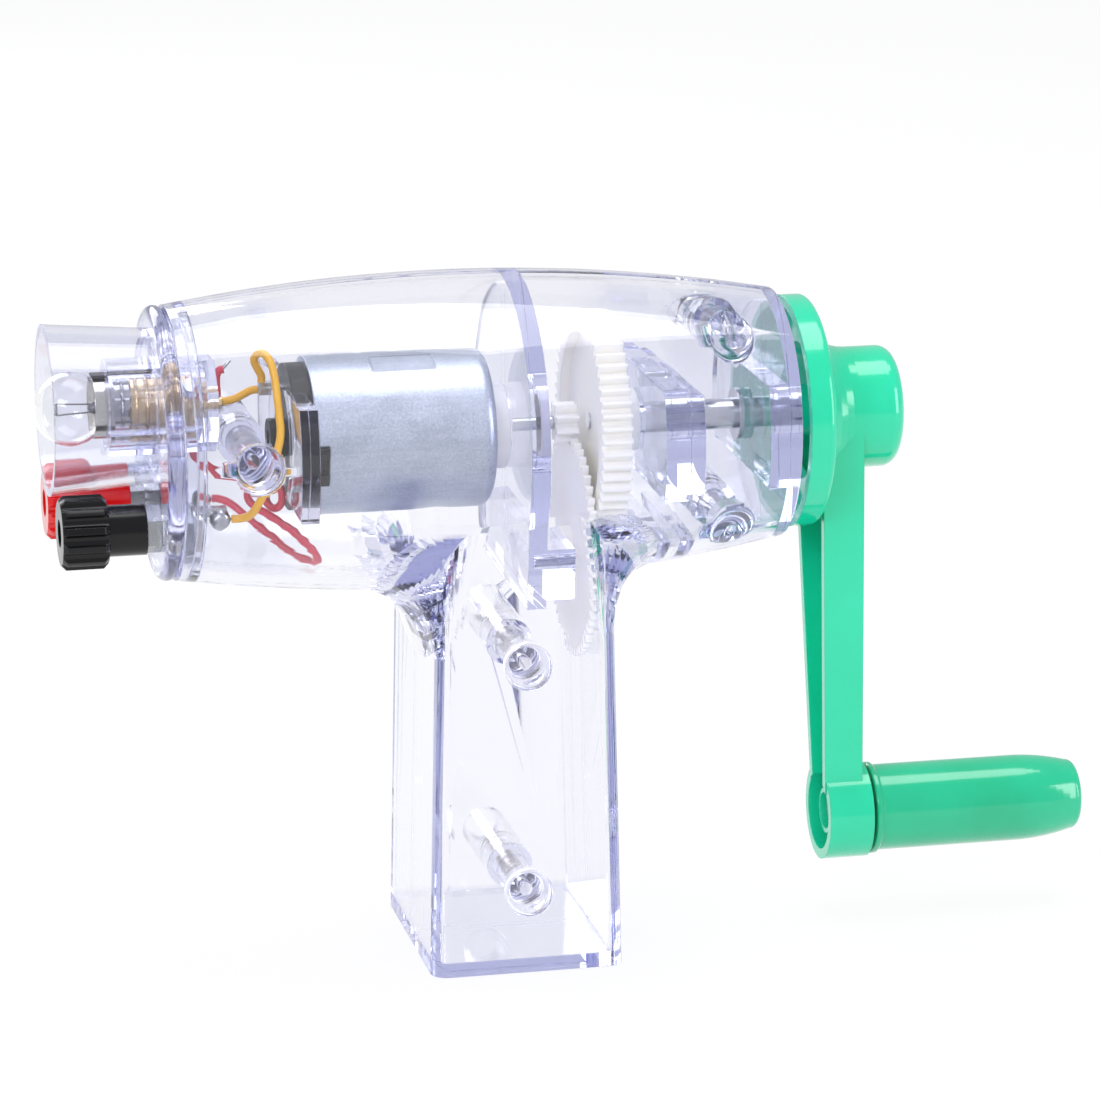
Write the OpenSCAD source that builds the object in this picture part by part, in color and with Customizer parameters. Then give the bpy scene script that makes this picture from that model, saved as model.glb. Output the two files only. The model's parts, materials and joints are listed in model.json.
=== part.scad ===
// Hand crank generator: a clear two-part housing with a pistol handle, a
// geared crank, a small motor used as a dynamo, a lamp and two binding posts.
// X runs towards the crank, Y away from the viewer's side, Z up.
// The origin is the middle of the handle's flat foot. Lengths are millimetres.

/* [Housing] */
// Height of the crank and motor axis above the foot
axis_h = 93.7; // [88:0.1:100]
// Largest outside radius of the barrel
barrel_r = 27.8; // [27:0.1:30]
// Place along X of the barrel's largest radius
barrel_peak_x = -10; // [-12:0.5:-8]
// Place along X of the shells' open lamp end
lamp_end_x = -58.9; // [-62:0.1:-58]
// How much smaller the barrel's outside radius is at the lamp end
lamp_end_taper = 3.9; // [3:0.1:4.5]
// Place along X of the shells' closed crank end
crank_end_x = 48.7; // [47:0.1:52]
// Wall of the clear housing
wall = 2.2; // [1.6:0.1:2.6]

/* [Handle] */
// Width of the handle's foot, along X
foot_w = 34.4; // [33:0.1:40]
// Depth of the handle, along Y
handle_d = 44; // [42:0.1:46]
// Width of the handle at its neck, along X
neck_w = 31.8; // [31.6:0.1:33]
// Depth of the handle's neck below the crank axis
neck_drop = 33.7; // [31.7:0.1:36.7]
// Radius of the handle's upright corners
handle_corner_r = 3; // [2.4:0.1:5]
// Depth of the neck where it runs out on the barrel
neck_top_d = 53.2; // [52:0.1:54]
// Radius of the neck's upright corners where it runs out on the barrel
neck_top_r = 12; // [8:0.5:14]
// Radius of the hollow corner between barrel and handle, on the lamp's side
lamp_fillet_r = 13; // [11:0.5:14]
// Radius of the hollow corner between barrel and handle, on the crank's side
crank_fillet_r = 12.5; // [11.5:0.5:14]

/* [Bulkhead and bearing blocks] */
// Thickness of the bulkhead plates
bulkhead_t = 3.2; // [2.4:0.1:4]
// Depth of the bulkhead's lower edge below the crank axis
bulkhead_drop = 27.7; // [26.7:0.1:29.7]
// Length along X of the layshaft's bracket
bracket_l = 5; // [4:0.1:5.2]
// Place along X of the shaft block's near side
block_x = 23.9; // [23.6:0.1:25]
// Length along X of the shaft block
block_l = 7; // [6:0.1:8]
// Height of the shaft block
block_h = 19; // [16:0.1:21]
// Thickness of the two layshaft ribs
rib_t = 2.5; // [2:0.1:3]
// Length along X of the end block
end_block_l = 5.7; // [4.5:0.1:6]
// Thickness of the ribs that cradle the motor
cradle_t = 3; // [2.4:0.1:3.4]

/* [Screw posts] */
// Place along X of the post at the lamp end
lamp_post_x = -46.4; // [-46.6:0.1:-46]
// Place along X of the two posts at the crank end
crank_post_x = 37.5; // [37:0.1:38]
// Gap between the upper of them and the barrel's wall
crank_post_high_gap = 1; // [0.8:0.1:2.3]
// Gap between the lower of them and the barrel's wall
crank_post_low_gap = 2; // [1.3:0.1:2.8]
// Place along X of the two posts in the handle
handle_post_x = 0.4; // [-1:0.1:1]
// Depth of the handle's upper post below the crank axis
handle_post_drop = 38.5; // [37.7:0.1:40.7]
// Height of the handle's lower post
handle_post_low = 13.9; // [10:0.1:18]
// Outside radius of the wide rear sockets and of the front posts' roots
socket_r = 4.1; // [4:0.05:4.2]
// Radius of the slim front posts
post_r = 2.85; // [2.6:0.05:3.1]
// Diameter of the screws' shanks
screw_d = 2.2; // [1.8:0.1:2.6]
// Diameter of the screws' heads
screw_head_d = 5.2; // [4.6:0.1:5.6]

/* [Lamp end] */
// Thickness of the end plate
plate_t = 3.1; // [2.6:0.1:3.6]
// Outside radius of the shade where it leaves the plate
shade_root_r = 13.4; // [12.5:0.1:14]
// Outside radius of the shade at its mouth
shade_mouth_r = 14.85; // [14:0.05:16]
// Length of the shade in front of the plate
shade_l = 18; // [14:0.1:22]
// Wall of the shade
shade_wall = 1.4; // [1:0.1:1.8]
// Height of the lamp above the crank axis
lamp_rise = 6.8; // [6.6:0.1:7]

/* [Motor] */
// Radius of the motor's steel can
motor_r = 13.85; // [13.5:0.05:14.2]
// Length of the steel can
can_l = 31.8; // [30:0.1:33]
// Wall of the steel can
can_t = 1; // [0.8:0.05:1.3]
// Length of the black end cap outside the can
cap_l = 3.3; // [3.2:0.1:3.5]
// Gap between the can and the bulkhead, filled by the spacer
spacer_t = 3.3; // [2.6:0.1:3.6]
// Diameter of the motor's shaft
motor_shaft_d = 2.3; // [2:0.1:2.6]
// Radius of the armature
armature_r = 9.8; // [9:0.1:10]

/* [Gears] */
// Module of the gear teeth
gear_module = 0.7; // [0.69:0.01:0.71]
// Teeth on each large gear
gear_teeth = 55; // [54:1:55]
// Teeth on each pinion
pinion_teeth = 8; // [8:1:8]
// Face width of the crank's gear
drive_gear_w = 5.3; // [4.5:0.1:6]
// Face width of the layshaft's gear
lay_gear_w = 1.3; // [1.1:0.1:1.4]
// Place along X of the layshaft's gear
lay_gear_x = 11.8; // [11.5:0.1:11.9]
// Diameter of the crank's shaft
crank_shaft_d = 5.4; // [5:0.1:6]
// Diameter of the layshaft
layshaft_d = 2.5; // [2.2:0.1:2.8]

/* [Crank] */
// Outside radius of the crank's cup
cup_r = 20.6; // [19.5:0.1:21]
// Length of the cup's rim
cup_l = 4.7; // [4:0.1:5.5]
// Gap between the housing and the cup
cup_gap = 2.1; // [1.6:0.1:3]
// Outside radius of the crank's hub
hub_r = 10.8; // [10:0.1:11.5]
// Place along X of the hub's flat end
hub_end_x = 70.8; // [70:0.1:74]
// Distance between the crank's axis and the grip's axis
crank_throw = 74.9; // [70:0.1:80]
// Place along X of the arm's outer face
arm_outer_x = 65.2; // [64.8:0.1:66]
// How far the arm's outer face leans towards the housing, from its foot to the crank's axis
arm_lean = 2.2; // [0:0.1:2.6]
// Wall of the crank's shells and channel
crank_wall = 1.8; // [1.4:0.1:2.2]
// Outside radius of the boss that carries the grip
boss_r = 8.7; // [8.2:0.1:9.2]

/* [Grip] */
// Radius of the lip at the grip's crank end
grip_lip_r = 8.3; // [8:0.1:8.6]
// Radius of the grip along its straight part
grip_r = 7.8; // [7.4:0.1:7.9]
// Radius of the grip at its free end
grip_end_r = 6.4; // [6.2:0.1:7]
// Length of the grip
grip_l = 39.4; // [36:0.1:46]
// Diameter of the long screw that the grip turns on
grip_screw_d = 4; // [3.5:0.1:4.4]

/* [Lamp] */
// Width of the clear lamp holder across its flats
holder_w = 15.8; // [15.4:0.1:16]
// Length of the lamp holder
holder_l = 18.7; // [18.5:0.1:18.8]
// Length of the lamp holder in front of the end plate
holder_out = 7.7; // [7.6:0.1:8.5]
// Radius of the lamp's glass globe
globe_r = 6.45; // [6:0.05:6.6]
// Radius of the lamp's threaded shell
lamp_thread_r = 4.6; // [4.5:0.05:4.7]
// Pitch of the lamp's thread
lamp_pitch = 1.814; // [1.7:0.001:1.9]

/* [Binding posts] */
// Distance of each post's axis from the edge of the end plate
post_edge = 7.4; // [7.2:0.1:7.6]
// Angle of each post from straight down, seen along the crank axis
post_turn = 41.8; // [41:0.1:44]
// Radius over the cap's ribs
cap_rib_r = 6.4; // [6:0.1:6.6]
// Radius of the cap's smooth skirt
cap_skirt_r = 4.45; // [4.3:0.05:4.6]
// Length of the ribbed part of the cap
cap_rib_l = 8; // [7:0.1:9]
// Length of the cap's skirt
cap_skirt_l = 6.7; // [6:0.1:8]
// Bore for a banana plug
banana_d = 4; // [4:0.1:4]
// Size of the hexagonal nuts across their flats
nut_w = 7.4; // [7:0.1:7.6]
// Thickness of the hexagonal nuts
nut_t = 2.6; // [2.2:0.1:2.8]

/* [Leads] */
// Outside diameter of the insulated leads
lead_d = 1.4; // [1.1:0.1:1.6]

/* [Hidden] */

$fn = 72;
corner_steps = 8;
arc_fn = 720;
rib_fn = 16;
front = -1;
rear = 1;

// Clearances shared by every fit, and one overrun for every cut
run_clear = 0.05;
fit_clear = 0.03;
loose_clear = 0.15;
seat_gap = 0.3;
overrun = 1;
feather = 0.01;
half_share = 0.5;

// Colours as the photograph shows them
clear_colour = [0.80, 0.80, 0.95, 0.35];
glass_colour = [0.90, 0.93, 0.95, 0.35];
green_colour = [0.05, 0.72, 0.45];
nylon_colour = [0.93, 0.91, 0.82];
steel_colour = [0.62, 0.64, 0.66];
bright_colour = [0.78, 0.79, 0.80];
black_colour = [0.06, 0.06, 0.07];
brass_colour = [0.80, 0.62, 0.32];
copper_colour = [0.72, 0.40, 0.22];
red_colour = [0.80, 0.05, 0.06];
yellow_colour = [0.95, 0.75, 0.12];
wire_red_colour = [0.75, 0.12, 0.20];
ferrite_colour = [0.20, 0.19, 0.19];

// Heights that follow the crank axis
neck_h = axis_h - neck_drop;
fillet_sink = 0.3;
flare_steps = 6;
side_steps = 3;
bulkhead_low_h = axis_h - bulkhead_drop;
handle_post_high = axis_h - handle_post_drop;

// Barrel: an arc through the widest place and the lamp end, turned round the axis
lamp_end_r = barrel_r - lamp_end_taper;
barrel_arc_r = (pow(barrel_peak_x - lamp_end_x, 2) + pow(barrel_r - lamp_end_r, 2))
    / (2 * (barrel_r - lamp_end_r));
function barrel_radius(x) = barrel_r - barrel_arc_r
    + sqrt(pow(barrel_arc_r, 2) - pow(x - barrel_peak_x, 2));

// Plates and blocks, measured from the bulkhead's lamp side at X 0
bracket_x = bulkhead_t;
bracket_rise = 5;
bracket_drop = 4.2;
rib_x = block_x;
rib_gap = 2;
rib_rise = 4.4;
rib_drop = 5.5;
end_block_x = crank_end_x - end_block_l;
end_block_h = 17.5;
block_step = 1.2;
block_step_l = 2.7;
cradle_lip_t = 1;
cradle_x = -spacer_t - can_l - cap_l - cradle_lip_t;

// Motor
can_x = -spacer_t - can_l;
cap_x = can_x - cap_l;
motor_boss_r = 5;
motor_boss_l = 2;
can_shoulder_r = 2;
end_cap_r = motor_r - can_t;
end_cap_t = 2;
end_cap_in = 5.4;
end_cap_wall = 2.3;
rear_boss_r = 3.4;
rear_boss_l = 3;
bush_r = 2.6;
bush_l = 3.4;
magnet_t = 2.2;
magnet_inset = 3;
magnet_l = 22;
magnet_gap_w = 9;
spacer_r = 7.5;
spacer_bore_r = motor_boss_r + run_clear;
spacer_spigot_r = 6;
spacer_spigot_l = 2.2;
can_slot_l = 11;
can_slot_w = 5;
can_slot_depth = 0.35;
can_slot_x = -24;
can_slot_turn = 18;
core_l = 17;
core_inset = 5.7;
core_x = -spacer_t - core_inset - core_l;
core_slots = 5;
core_slot_r = 2.2;
core_slot_depth_share = 0.72;
winding_l = 2.6;
winding_r = 8.2;
commutator_r = 3.2;
commutator_l = 4.2;
commutator_x = core_x - winding_l - commutator_l - run_clear;
commutator_bars = 5;
commutator_cut = 0.4;
brush_w = 2;
brush_h = 2.4;
brush_gap = 0.1;
notch_w = 7;
notch_l = 2.2;
notch_turns = [100, 280];
crimp_w = 1.8;
crimp_out = 0.5;
terminal_w = 2.4;
terminal_t = 0.5;
terminal_l = 4.6;
terminal_rise = 8.8;
terminal_root = 1;
solder_w = 2.2;
solder_l = 1.6;

// Gears: involute teeth, the pinions shifted out and the large gears shifted in
pressure_angle = 20;
pinion_shift = 0.5;
pinion_addendum_share = 0.7;
gear_addendum_share = 1;
dedendum_share = 1.25;
backlash = 0.15;
flank_steps = 3;
centre_distance = gear_module * (gear_teeth + pinion_teeth) / 2;
layshaft_h = axis_h - centre_distance;
pinion_room_r = gear_module * (pinion_teeth / 2 + pinion_addendum_share + pinion_shift) + wall / 4;
gear_root_r = gear_module * (gear_teeth / 2 - dedendum_share - pinion_shift);
gear_gap = 0.64;
drive_gear_x = lay_gear_x + lay_gear_w + gear_gap;
drive_gear_end_x = drive_gear_x + drive_gear_w;
rim_t = 2.2;
web_t = 1.6;
gear_hub_r = 5.6;
crank_spigot_d = 3;
lay_hub_r = 4;
lay_sleeve_r = 1.65;
shaft_end_gap = 0.4;
motor_pinion_l = 4;
motor_pinion_x = lay_gear_x + lay_gear_w - motor_pinion_l;
washer_r = 4.65;
washer_t = 0.9;

// Crank
cup_x = crank_end_x + cup_gap;
cup_end_x = cup_x + cup_l;
cone_r = 14;
cone_l = 6.5;
flare_r = 16.6;
flare_l = 7;
cup_round = 1.3;
hub_round = 2.6;
turned_steps = 8;
hub_tube_r = 4.6;
shaft_cover = 5;
shaft_end_x = hub_end_x - shaft_cover;
crank_screw_d = 2.6;
crank_screw_l = 9;
crank_screw_head_r = 2.7;
crank_screw_head_t = 1.9;
hub_recess_r = 3.6;
hub_recess_l = 3;
grip_h = axis_h - crank_throw;
arm_top_w = 2 * hub_r;
arm_low_w = 9.6;
arm_inner_x = cup_end_x;
arm_low_t = 6.9;
arm_low_x = arm_outer_x - arm_low_t;
boss_x = arm_low_x;
boss_out = 1.3;
boss_end_x = arm_outer_x + boss_out;
boss_tube_r = 4.1;
boss_tube_inset = 1.2;
boss_tube_x = boss_x + boss_tube_inset;
boss_bore_r = 3.3;
boss_bore_l = 3;

// Grip
grip_gap = 0.7;
grip_x = boss_end_x + grip_gap;
grip_swell_share = 0.7;
grip_lip_l = 0.9;
grip_end_x = grip_x + grip_l;
grip_round = 1.4;
grip_counterbore_r = 4;
grip_counterbore_l = 4.6;
grip_head_r = 3.4;
grip_head_t = 2.2;
grip_washer_t = 0.8;
grip_tip_out = 1;
drive_slot_w = 0.8;
drive_slot_depth = 0.9;

// Lamp
lamp_h = axis_h + lamp_rise;
plate_x = lamp_end_x - plate_t;
shade_x = plate_x - shade_l;
holder_x = plate_x - holder_out;
holder_end_x = holder_x + holder_l;
holder_back_t = 1.6;
holder_flats = 8;
socket_out_r = 5.15;
socket_in_r = lamp_thread_r + loose_clear;
socket_l = 11.4;
socket_inset = 3.9;
socket_x = holder_x + socket_inset;
thread_rib_r = 0.3;
contact_t = 0.5;
contact_r = 3.2;
contact_bump_r = 1.6;
strip_w = 3;
strip_t = 0.4;
strip_out = 2.4;
strip_in = 8;
holder_screw_r = 1;
holder_screw_inset = 4.6;
holder_screw_x = holder_end_x - holder_screw_inset;
holder_screw_shift = 1.8;
holder_screw_head_r = 1.4;
holder_screw_turn = 45;
globe_out = 6;
globe_x = holder_x - globe_out;
globe_t = 0.5;
collar_r = 5.35;
collar_out = 2.4;
collar_x = holder_x - collar_out;
collar_l = 3.4;
bulb_shell_l = 11.5;
bulb_shell_t = 0.35;
insulator_l = 1.1;
insulator_r = 3;
tip_r = 1.6;
tip_l = 0.8;
neck_r = lamp_thread_r - bulb_shell_t - run_clear;
neck_l = 3.3;
stem_r = 1;
stem_foot_t = 0.8;
stem_out = 0.8;
support_r = 0.2;
support_gap = 1.4;
support_l = 5.4;
filament_r = 0.15;

// Binding posts
post_circle_r = lamp_end_r - post_edge;
post_spacing = 2 * post_circle_r * sin(post_turn);
post_h = axis_h - post_circle_r * cos(post_turn);
stud_r = 2.9;
nut_x = plate_x - nut_t;
cap_skirt_x = nut_x - cap_skirt_l;
cap_x0 = cap_skirt_x - cap_rib_l;
cap_ribs = 12;
cap_rib_depth = 1.1;
cap_bevel = 0.8;
cap_notch_out_share = 0.2;
cap_mouth_r = 2.4;
cap_lid_t = 1.5;
insert_r = 3.75;
insert_l = 6;
insert_out = 4;
insert_x = cap_skirt_x - insert_l + insert_out;
stud_x = cap_x0 + cap_lid_t + seat_gap;
stud_in = 4.4;
stud_end_x = lamp_end_x + stud_in;
banana_depth = 12;
inner_nut_t = 2;
nut_corner_r = nut_w / 2 / cos(30);
lug_t = 0.6;
lug_r = 4;
lug_w = 3.2;
lug_x = lamp_end_x + inner_nut_t + 2 * run_clear;
bead_end_x = lamp_end_x + 2 * stud_in + seat_gap;
bead_l = 3.4;
bead_r = 2;
bead_rise = 1.1;
lead_seat_gap = 0.1;

// Screw posts: place along X and height of each
crank_post_reach = barrel_radius(crank_post_x) - wall - socket_r;
screw_places = [
    [lamp_post_x, axis_h],
    [crank_post_x, axis_h + crank_post_reach - crank_post_high_gap],
    [crank_post_x, axis_h - crank_post_reach + crank_post_low_gap],
    [handle_post_x, handle_post_high],
    [handle_post_x, handle_post_low]];
socket_mouth_y = -2.5;
post_end_y = 2.9;
post_root_l = 5;
post_cone_l = 2.5;
socket_web_t = 2.2;
pilot_end_y = -15;
socket_wall = 1.1;
screw_head_t = 1.9;
screw_l = 14;
screw_cross_share = 0.6;

// End plate's spigot, held by a groove in both shells
spigot_l = 3.4;
spigot_t = 1.4;
spigot_bead = 0.7;
spigot_bead_l = 1.2;
plate_edge_r = plate_t / 2;

// Routes of the leads: points X, Y and height over the crank axis, chosen by hand along the
// real wires; those that end on a post end at its solder
black_solder = [bead_end_x + lead_seat_gap, front * post_spacing / 2, post_h - axis_h + bead_rise];
red_solder = [bead_end_x + lead_seat_gap, rear * post_spacing / 2, post_h - axis_h - bead_rise];
lamp_lead_yellow_route = [
    [-49.3, 0, 6.8], [-48.2, 0, 6.9], [-46.8, -0.1, 7.3], [-45.4, -0.1, 8], [-44.2, 0, 8.5],
    [-43.1, 0, 8.6]];
post_lead_yellow_route = [
    [-42.4, 0, 9.95], [-42.4, -0.1, 10.9], [-42.8, -0.4, 11.8], [-43.3, -0.8, 12.7],
    [-43.8, -1.4, 14], [-43.5, -2.2, 15.1], [-42.6, -3.2, 15.5], [-41.7, -4.4, 14.6],
    [-41.1, -6, 12.3], [-40.9, -7.8, 8.9], [-40.9, -9.8, 6], [-41.1, -12, 3.2],
    [-42, -13.7, 0.6], [-43, -14.6, -2.2], [-44, -14.5, -5], [-45.2, -13.8, -7.8],
    [-46.7, -12.2, -10.4], [-48.3, -11.1, -11.2], black_solder];
lamp_lead_red_route = [
    [-54.6, 0, -1.15], [-54.6, 0, -2.1], [-54.2, 0.1, -2.9], [-53.1, 0.2, -3.7],
    [-51.4, 0.3, -4.6], [-49.4, 0.2, -5.6], [-47.4, -0.3, -6.3], [-45.4, -1.2, -6.8],
    [-43.4, -2.2, -7.1], [-41.4, -2.6, -7.5], [-39.9, -2.7, -8.5], [-39.5, -2.7, -10],
    [-39.8, -2.5, -11.5], [-40.7, -1.7, -12.3], [-41.7, -0.7, -11.8], [-42, 0, -10.7],
    [-42, 0, -10]];
post_lead_red_route = [
    red_solder, [-49, 11, -13.4], [-48, 10.6, -13.6], [-46.6, 9.7, -14.3], [-44.6, 8.2, -15.9],
    [-42.4, 6.4, -17.8], [-39.8, 4.4, -20], [-37.2, 2.6, -22], [-34.9, 1, -23.3],
    [-33.3, -0.3, -23.3], [-33.3, -1.6, -22.1], [-34.9, -2.2, -19.8], [-37.2, -2.4, -17.1],
    [-39.6, -2.6, -14.9], [-42, -2.8, -13.1], [-44.2, -2.4, -11.7], [-45.3, -1.4, -10.3],
    [-44.8, -0.4, -9.1], [-43.7, 0, -8.8], [-43.1, 0, -8.8]];
lamp_tail_red_route = [
    [-50.15, 0, 7.9], [-50.2, 0, 9.1], [-50.25, 0, 10.5], [-50.1, 0, 11.6], [-49.6, 0, 12.3],
    [-49, 0, 12.45]];
lead_sides = 8;

// Unit helpers
module along_x(x, h) {
    translate([x, 0, h]) rotate([0, 90, 0]) children();
}

module rod_x(x, r, l, h, y = 0, sides = $fn) {
    translate([x, y, h]) rotate([0, 90, 0]) cylinder(r = r, h = l, $fn = sides);
}

module tube_x(x, r, bore, l, h, y = 0) {
    translate([0, y, 0]) difference() {
        rod_x(x, r, l, h);
        rod_x(x - overrun, bore, l + 2 * overrun, h);
    }
}

module rod_y(x, y, r, l, h) {
    translate([x, y, h]) rotate([-90, 0, 0]) cylinder(r = r, h = l);
}

// Housing: the same form inset by a wall gives the inside
module barrel_form(inset, x0, x1) {
    along_x(0, axis_h) rotate_extrude() intersection() {
        translate([barrel_r - barrel_arc_r, barrel_peak_x])
            circle(r = barrel_arc_r - inset, $fn = arc_fn);
        translate([0, x0]) square([barrel_r, x1 - x0]);
    }
}

// Rounded rectangle at a height, as points that run the same way round at every size
function rounded_ring(w, d, r, z) = [for (q = [0:3], k = [0:corner_steps])
    let (a = 90 * (q + k / corner_steps))
    [(q == 0 || q == 3 ? 1 : -1) * (w / 2 - r) + r * cos(a),
        (q < 2 ? 1 : -1) * (d / 2 - r) + r * sin(a), z]];

// Solid through rings of equal counts, from the lowest up
module ring_loft(rings) {
    n = len(rings[0]);
    last = len(rings) - 1;
    walls = [for (i = [0:last - 1], k = [0:n - 1], half = [0, 1])
        let (m = (k + 1) % n, a = i * n, b = a + n)
        half == 0 ? [a + k, b + k, b + m] : [a + k, b + m, a + m]];
    foot = [for (k = [1:n - 2]) [0, k, k + 1]];
    top = [for (k = [1:n - 2]) [last * n, last * n + k + 1, last * n + k]];
    polyhedron([for (ring = rings) each ring], concat(walls, foot, top));
}

// The neck's side walls curve out in an arc turned about the barrel's axis, so that they run
// out on the barrel. A ring of the neck is one angle of that arc
function turn_r(side) = side > 0 ? crank_fillet_r : lamp_fillet_r;
function turn_h(side, y, a, inset) =
    let (r = turn_r(side), rim_r = barrel_radius(side * (neck_w / 2 + r)) + r - fillet_sink)
    axis_h - sqrt(max(0, pow(rim_r - (r + inset) * sin(a), 2) - pow(y, 2)));
function side_points(side, w, half_d) = [for (k = [1:side_steps])
    [side * w / 2, side * half_d * (2 * k / (side_steps + 1) - 1), 0]];
function housing_plan(w, d, r) =
    let (corners = rounded_ring(w, d, r, 0), n = corner_steps + 1, half = corner_steps / 2)
    concat([for (k = [half:2 * n - 1]) corners[k]], side_points(-1, w, d / 2 - r),
        [for (k = [2 * n:4 * n - 1]) corners[k]], side_points(1, w, d / 2 - r),
        [for (k = [0:half - 1]) corners[k]]);
function neck_plan(h, inset) =
    let (share = max(0, h - neck_h) / neck_drop)
    housing_plan(neck_w, handle_d + share * (neck_top_d - handle_d) - 2 * inset,
        handle_corner_r + share * (neck_top_r - handle_corner_r) - inset);
function turned_out(p, a, inset) = let (side = sign(p[0]), r = turn_r(side))
    [p[0] + side * (r - (r + inset) * cos(a)), p[1], turn_h(side, p[1], a, inset)];

module housing_form(inset, open_x) {
    foot_plan = housing_plan(foot_w - 2 * inset, handle_d - 2 * inset, handle_corner_r - inset);
    r = handle_corner_r - inset;
    union() {
        barrel_form(inset, open_x, crank_end_x - inset);
        if (inset > 0) {
            ring_loft([
                rounded_ring(foot_w - 2 * inset, handle_d - 2 * inset, r, inset),
                rounded_ring(neck_w - 2 * inset, handle_d - 2 * inset, r, neck_h),
                rounded_ring(neck_w - 2 * inset, neck_top_d - 2 * inset, neck_top_r - inset, axis_h)]);
            rod_x(0, pinion_room_r, rib_x, layshaft_h);
        } else ring_loft(concat([[for (p = foot_plan) [p[0], p[1], inset]]],
            [for (k = [0:flare_steps]) let (a = 90 * k / flare_steps)
                [for (p = neck_plan(turn_h(1, handle_d / 2, a, inset), inset)) turned_out(p, a, inset)]],
            [[for (p = neck_plan(axis_h, inset)) [turned_out(p, 90, 0)[0], p[1], axis_h]]]));
    }
}

module inner_plates() {
    reach = barrel_r;
    difference() {
        translate([0, -reach, bulkhead_low_h]) cube([bulkhead_t, 2 * reach, 2 * reach]);
        rod_x(-overrun, spacer_spigot_r + run_clear, bulkhead_t + 2 * overrun, axis_h);
    }
    translate([bracket_x - feather, -reach, layshaft_h - bracket_drop])
        cube([bracket_l + feather, 2 * reach, bracket_rise + bracket_drop]);
    translate([block_x, -reach, axis_h - block_h / 2])
        cube([block_l - block_step_l, 2 * reach, block_h]);
    translate([block_x, -reach, axis_h - block_h / 2 + block_step])
        cube([block_l, 2 * reach, block_h - 2 * block_step]);
    for (x = [rib_x, rib_x + rib_t + rib_gap])
        translate([x, -reach, bulkhead_low_h - rib_drop])
            cube([rib_t, 2 * reach, layshaft_h + rib_rise - bulkhead_low_h + rib_drop]);
    translate([end_block_x, -reach, axis_h - end_block_h / 2])
        cube([end_block_l, 2 * reach, end_block_h]);
    difference() {
        translate([cradle_x, -reach, axis_h - block_h / 2]) cube([cradle_t, 2 * reach, block_h]);
        rod_x(cradle_x - overrun, end_cap_r - end_cap_t, cradle_t + 2 * overrun, axis_h);
        rod_x(cap_x - fit_clear, end_cap_r + fit_clear, cradle_t + overrun, axis_h);
    }
}

module shaft_bores() {
    rod_x(block_x - overrun, crank_shaft_d / 2 + run_clear, crank_end_x, axis_h);
    rod_x(bracket_x + shaft_end_gap, layshaft_d / 2 + run_clear,
        rib_x + 2 * rib_t + rib_gap - bracket_x - 2 * shaft_end_gap, layshaft_h);
}

module half_space(side) {
    reach = 4 * axis_h;
    translate([-reach / 2, side > 0 ? 0 : -reach / 2, -reach / 4])
        cube([reach, reach / 2, reach]);
}

// One half of the housing; its posts come in as children and are trimmed to the wall
module housing_half(side) {
    groove_r = barrel_radius(lamp_end_x) - wall + spigot_bead + loose_clear;
    difference() {
        union() {
            intersection() {
                difference() {
                    housing_form(0, lamp_end_x);
                    housing_form(wall, lamp_end_x - overrun);
                }
                half_space(side);
            }
            intersection() {
                housing_form(wall / 2, lamp_end_x);
                union() {
                    intersection() {
                        inner_plates();
                        half_space(side);
                    }
                    children();
                }
            }
        }
        shaft_bores();
        rod_x(lamp_end_x + spigot_l - spigot_bead_l - loose_clear, groove_r,
            spigot_bead_l + 2 * loose_clear, axis_h);
    }
}

module front_shell() {
    color(clear_colour) difference() {
        housing_half(front) for (p = screw_places) front_post(p);
        for (p = screw_places)
            rod_y(p[0], pilot_end_y, screw_d / 2 + fit_clear, post_end_y - pilot_end_y + overrun, p[1]);
    }
}

// Half the handle's depth at a height, and the depth of the wall's outer face at a screw place
function handle_half(h) = handle_d / 2
    + (neck_top_d - handle_d) / 2 * max(0, h - neck_h) / neck_drop;
function wall_y(p) = abs(p[1] - axis_h) >= barrel_radius(p[0]) ? handle_half(p[1])
    : sqrt(pow(barrel_radius(p[0]), 2) - pow(p[1] - axis_h, 2));

module front_post(p) {
    root_y = post_root_l - wall_y(p);
    translate([p[0], 0, p[1]]) rotate([-90, 0, 0]) rotate_extrude() polygon([
        [0, -barrel_r], [socket_r, -barrel_r], [socket_r, root_y],
        [post_r, root_y + post_cone_l], [post_r, post_end_y], [0, post_end_y]]);
}

module rear_post(p) {
    difference() {
        rod_y(p[0], socket_mouth_y, socket_r, barrel_r - socket_mouth_y, p[1]);
        rod_y(p[0], socket_mouth_y - overrun, post_r + run_clear,
            post_end_y + run_clear - socket_mouth_y + overrun, p[1]);
    }
}

module rear_shell() {
    web_y = post_end_y + run_clear;
    color(clear_colour) difference() {
        housing_half(rear) for (p = screw_places) rear_post(p);
        for (p = screw_places) {
            rod_y(p[0], socket_mouth_y, screw_d / 2 + loose_clear, barrel_r, p[1]);
            rod_y(p[0], web_y + socket_web_t, socket_r - socket_wall, 2 * barrel_r, p[1]);
        }
    }
}

module housing_screws() {
    head_y = post_end_y + run_clear + socket_web_t;
    color(brass_colour) for (p = screw_places) difference() {
        union() {
            rod_y(p[0], head_y - screw_l, screw_d / 2, screw_l + feather, p[1]);
            rod_y(p[0], head_y, screw_head_d / 2, screw_head_t, p[1]);
        }
        for (turn = [0, 90])
            translate([p[0], head_y + screw_head_t, p[1]]) rotate([0, turn, 0])
                cube([screw_head_d * screw_cross_share, drive_slot_depth * 2, drive_slot_w], center = true);
    }
}

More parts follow.
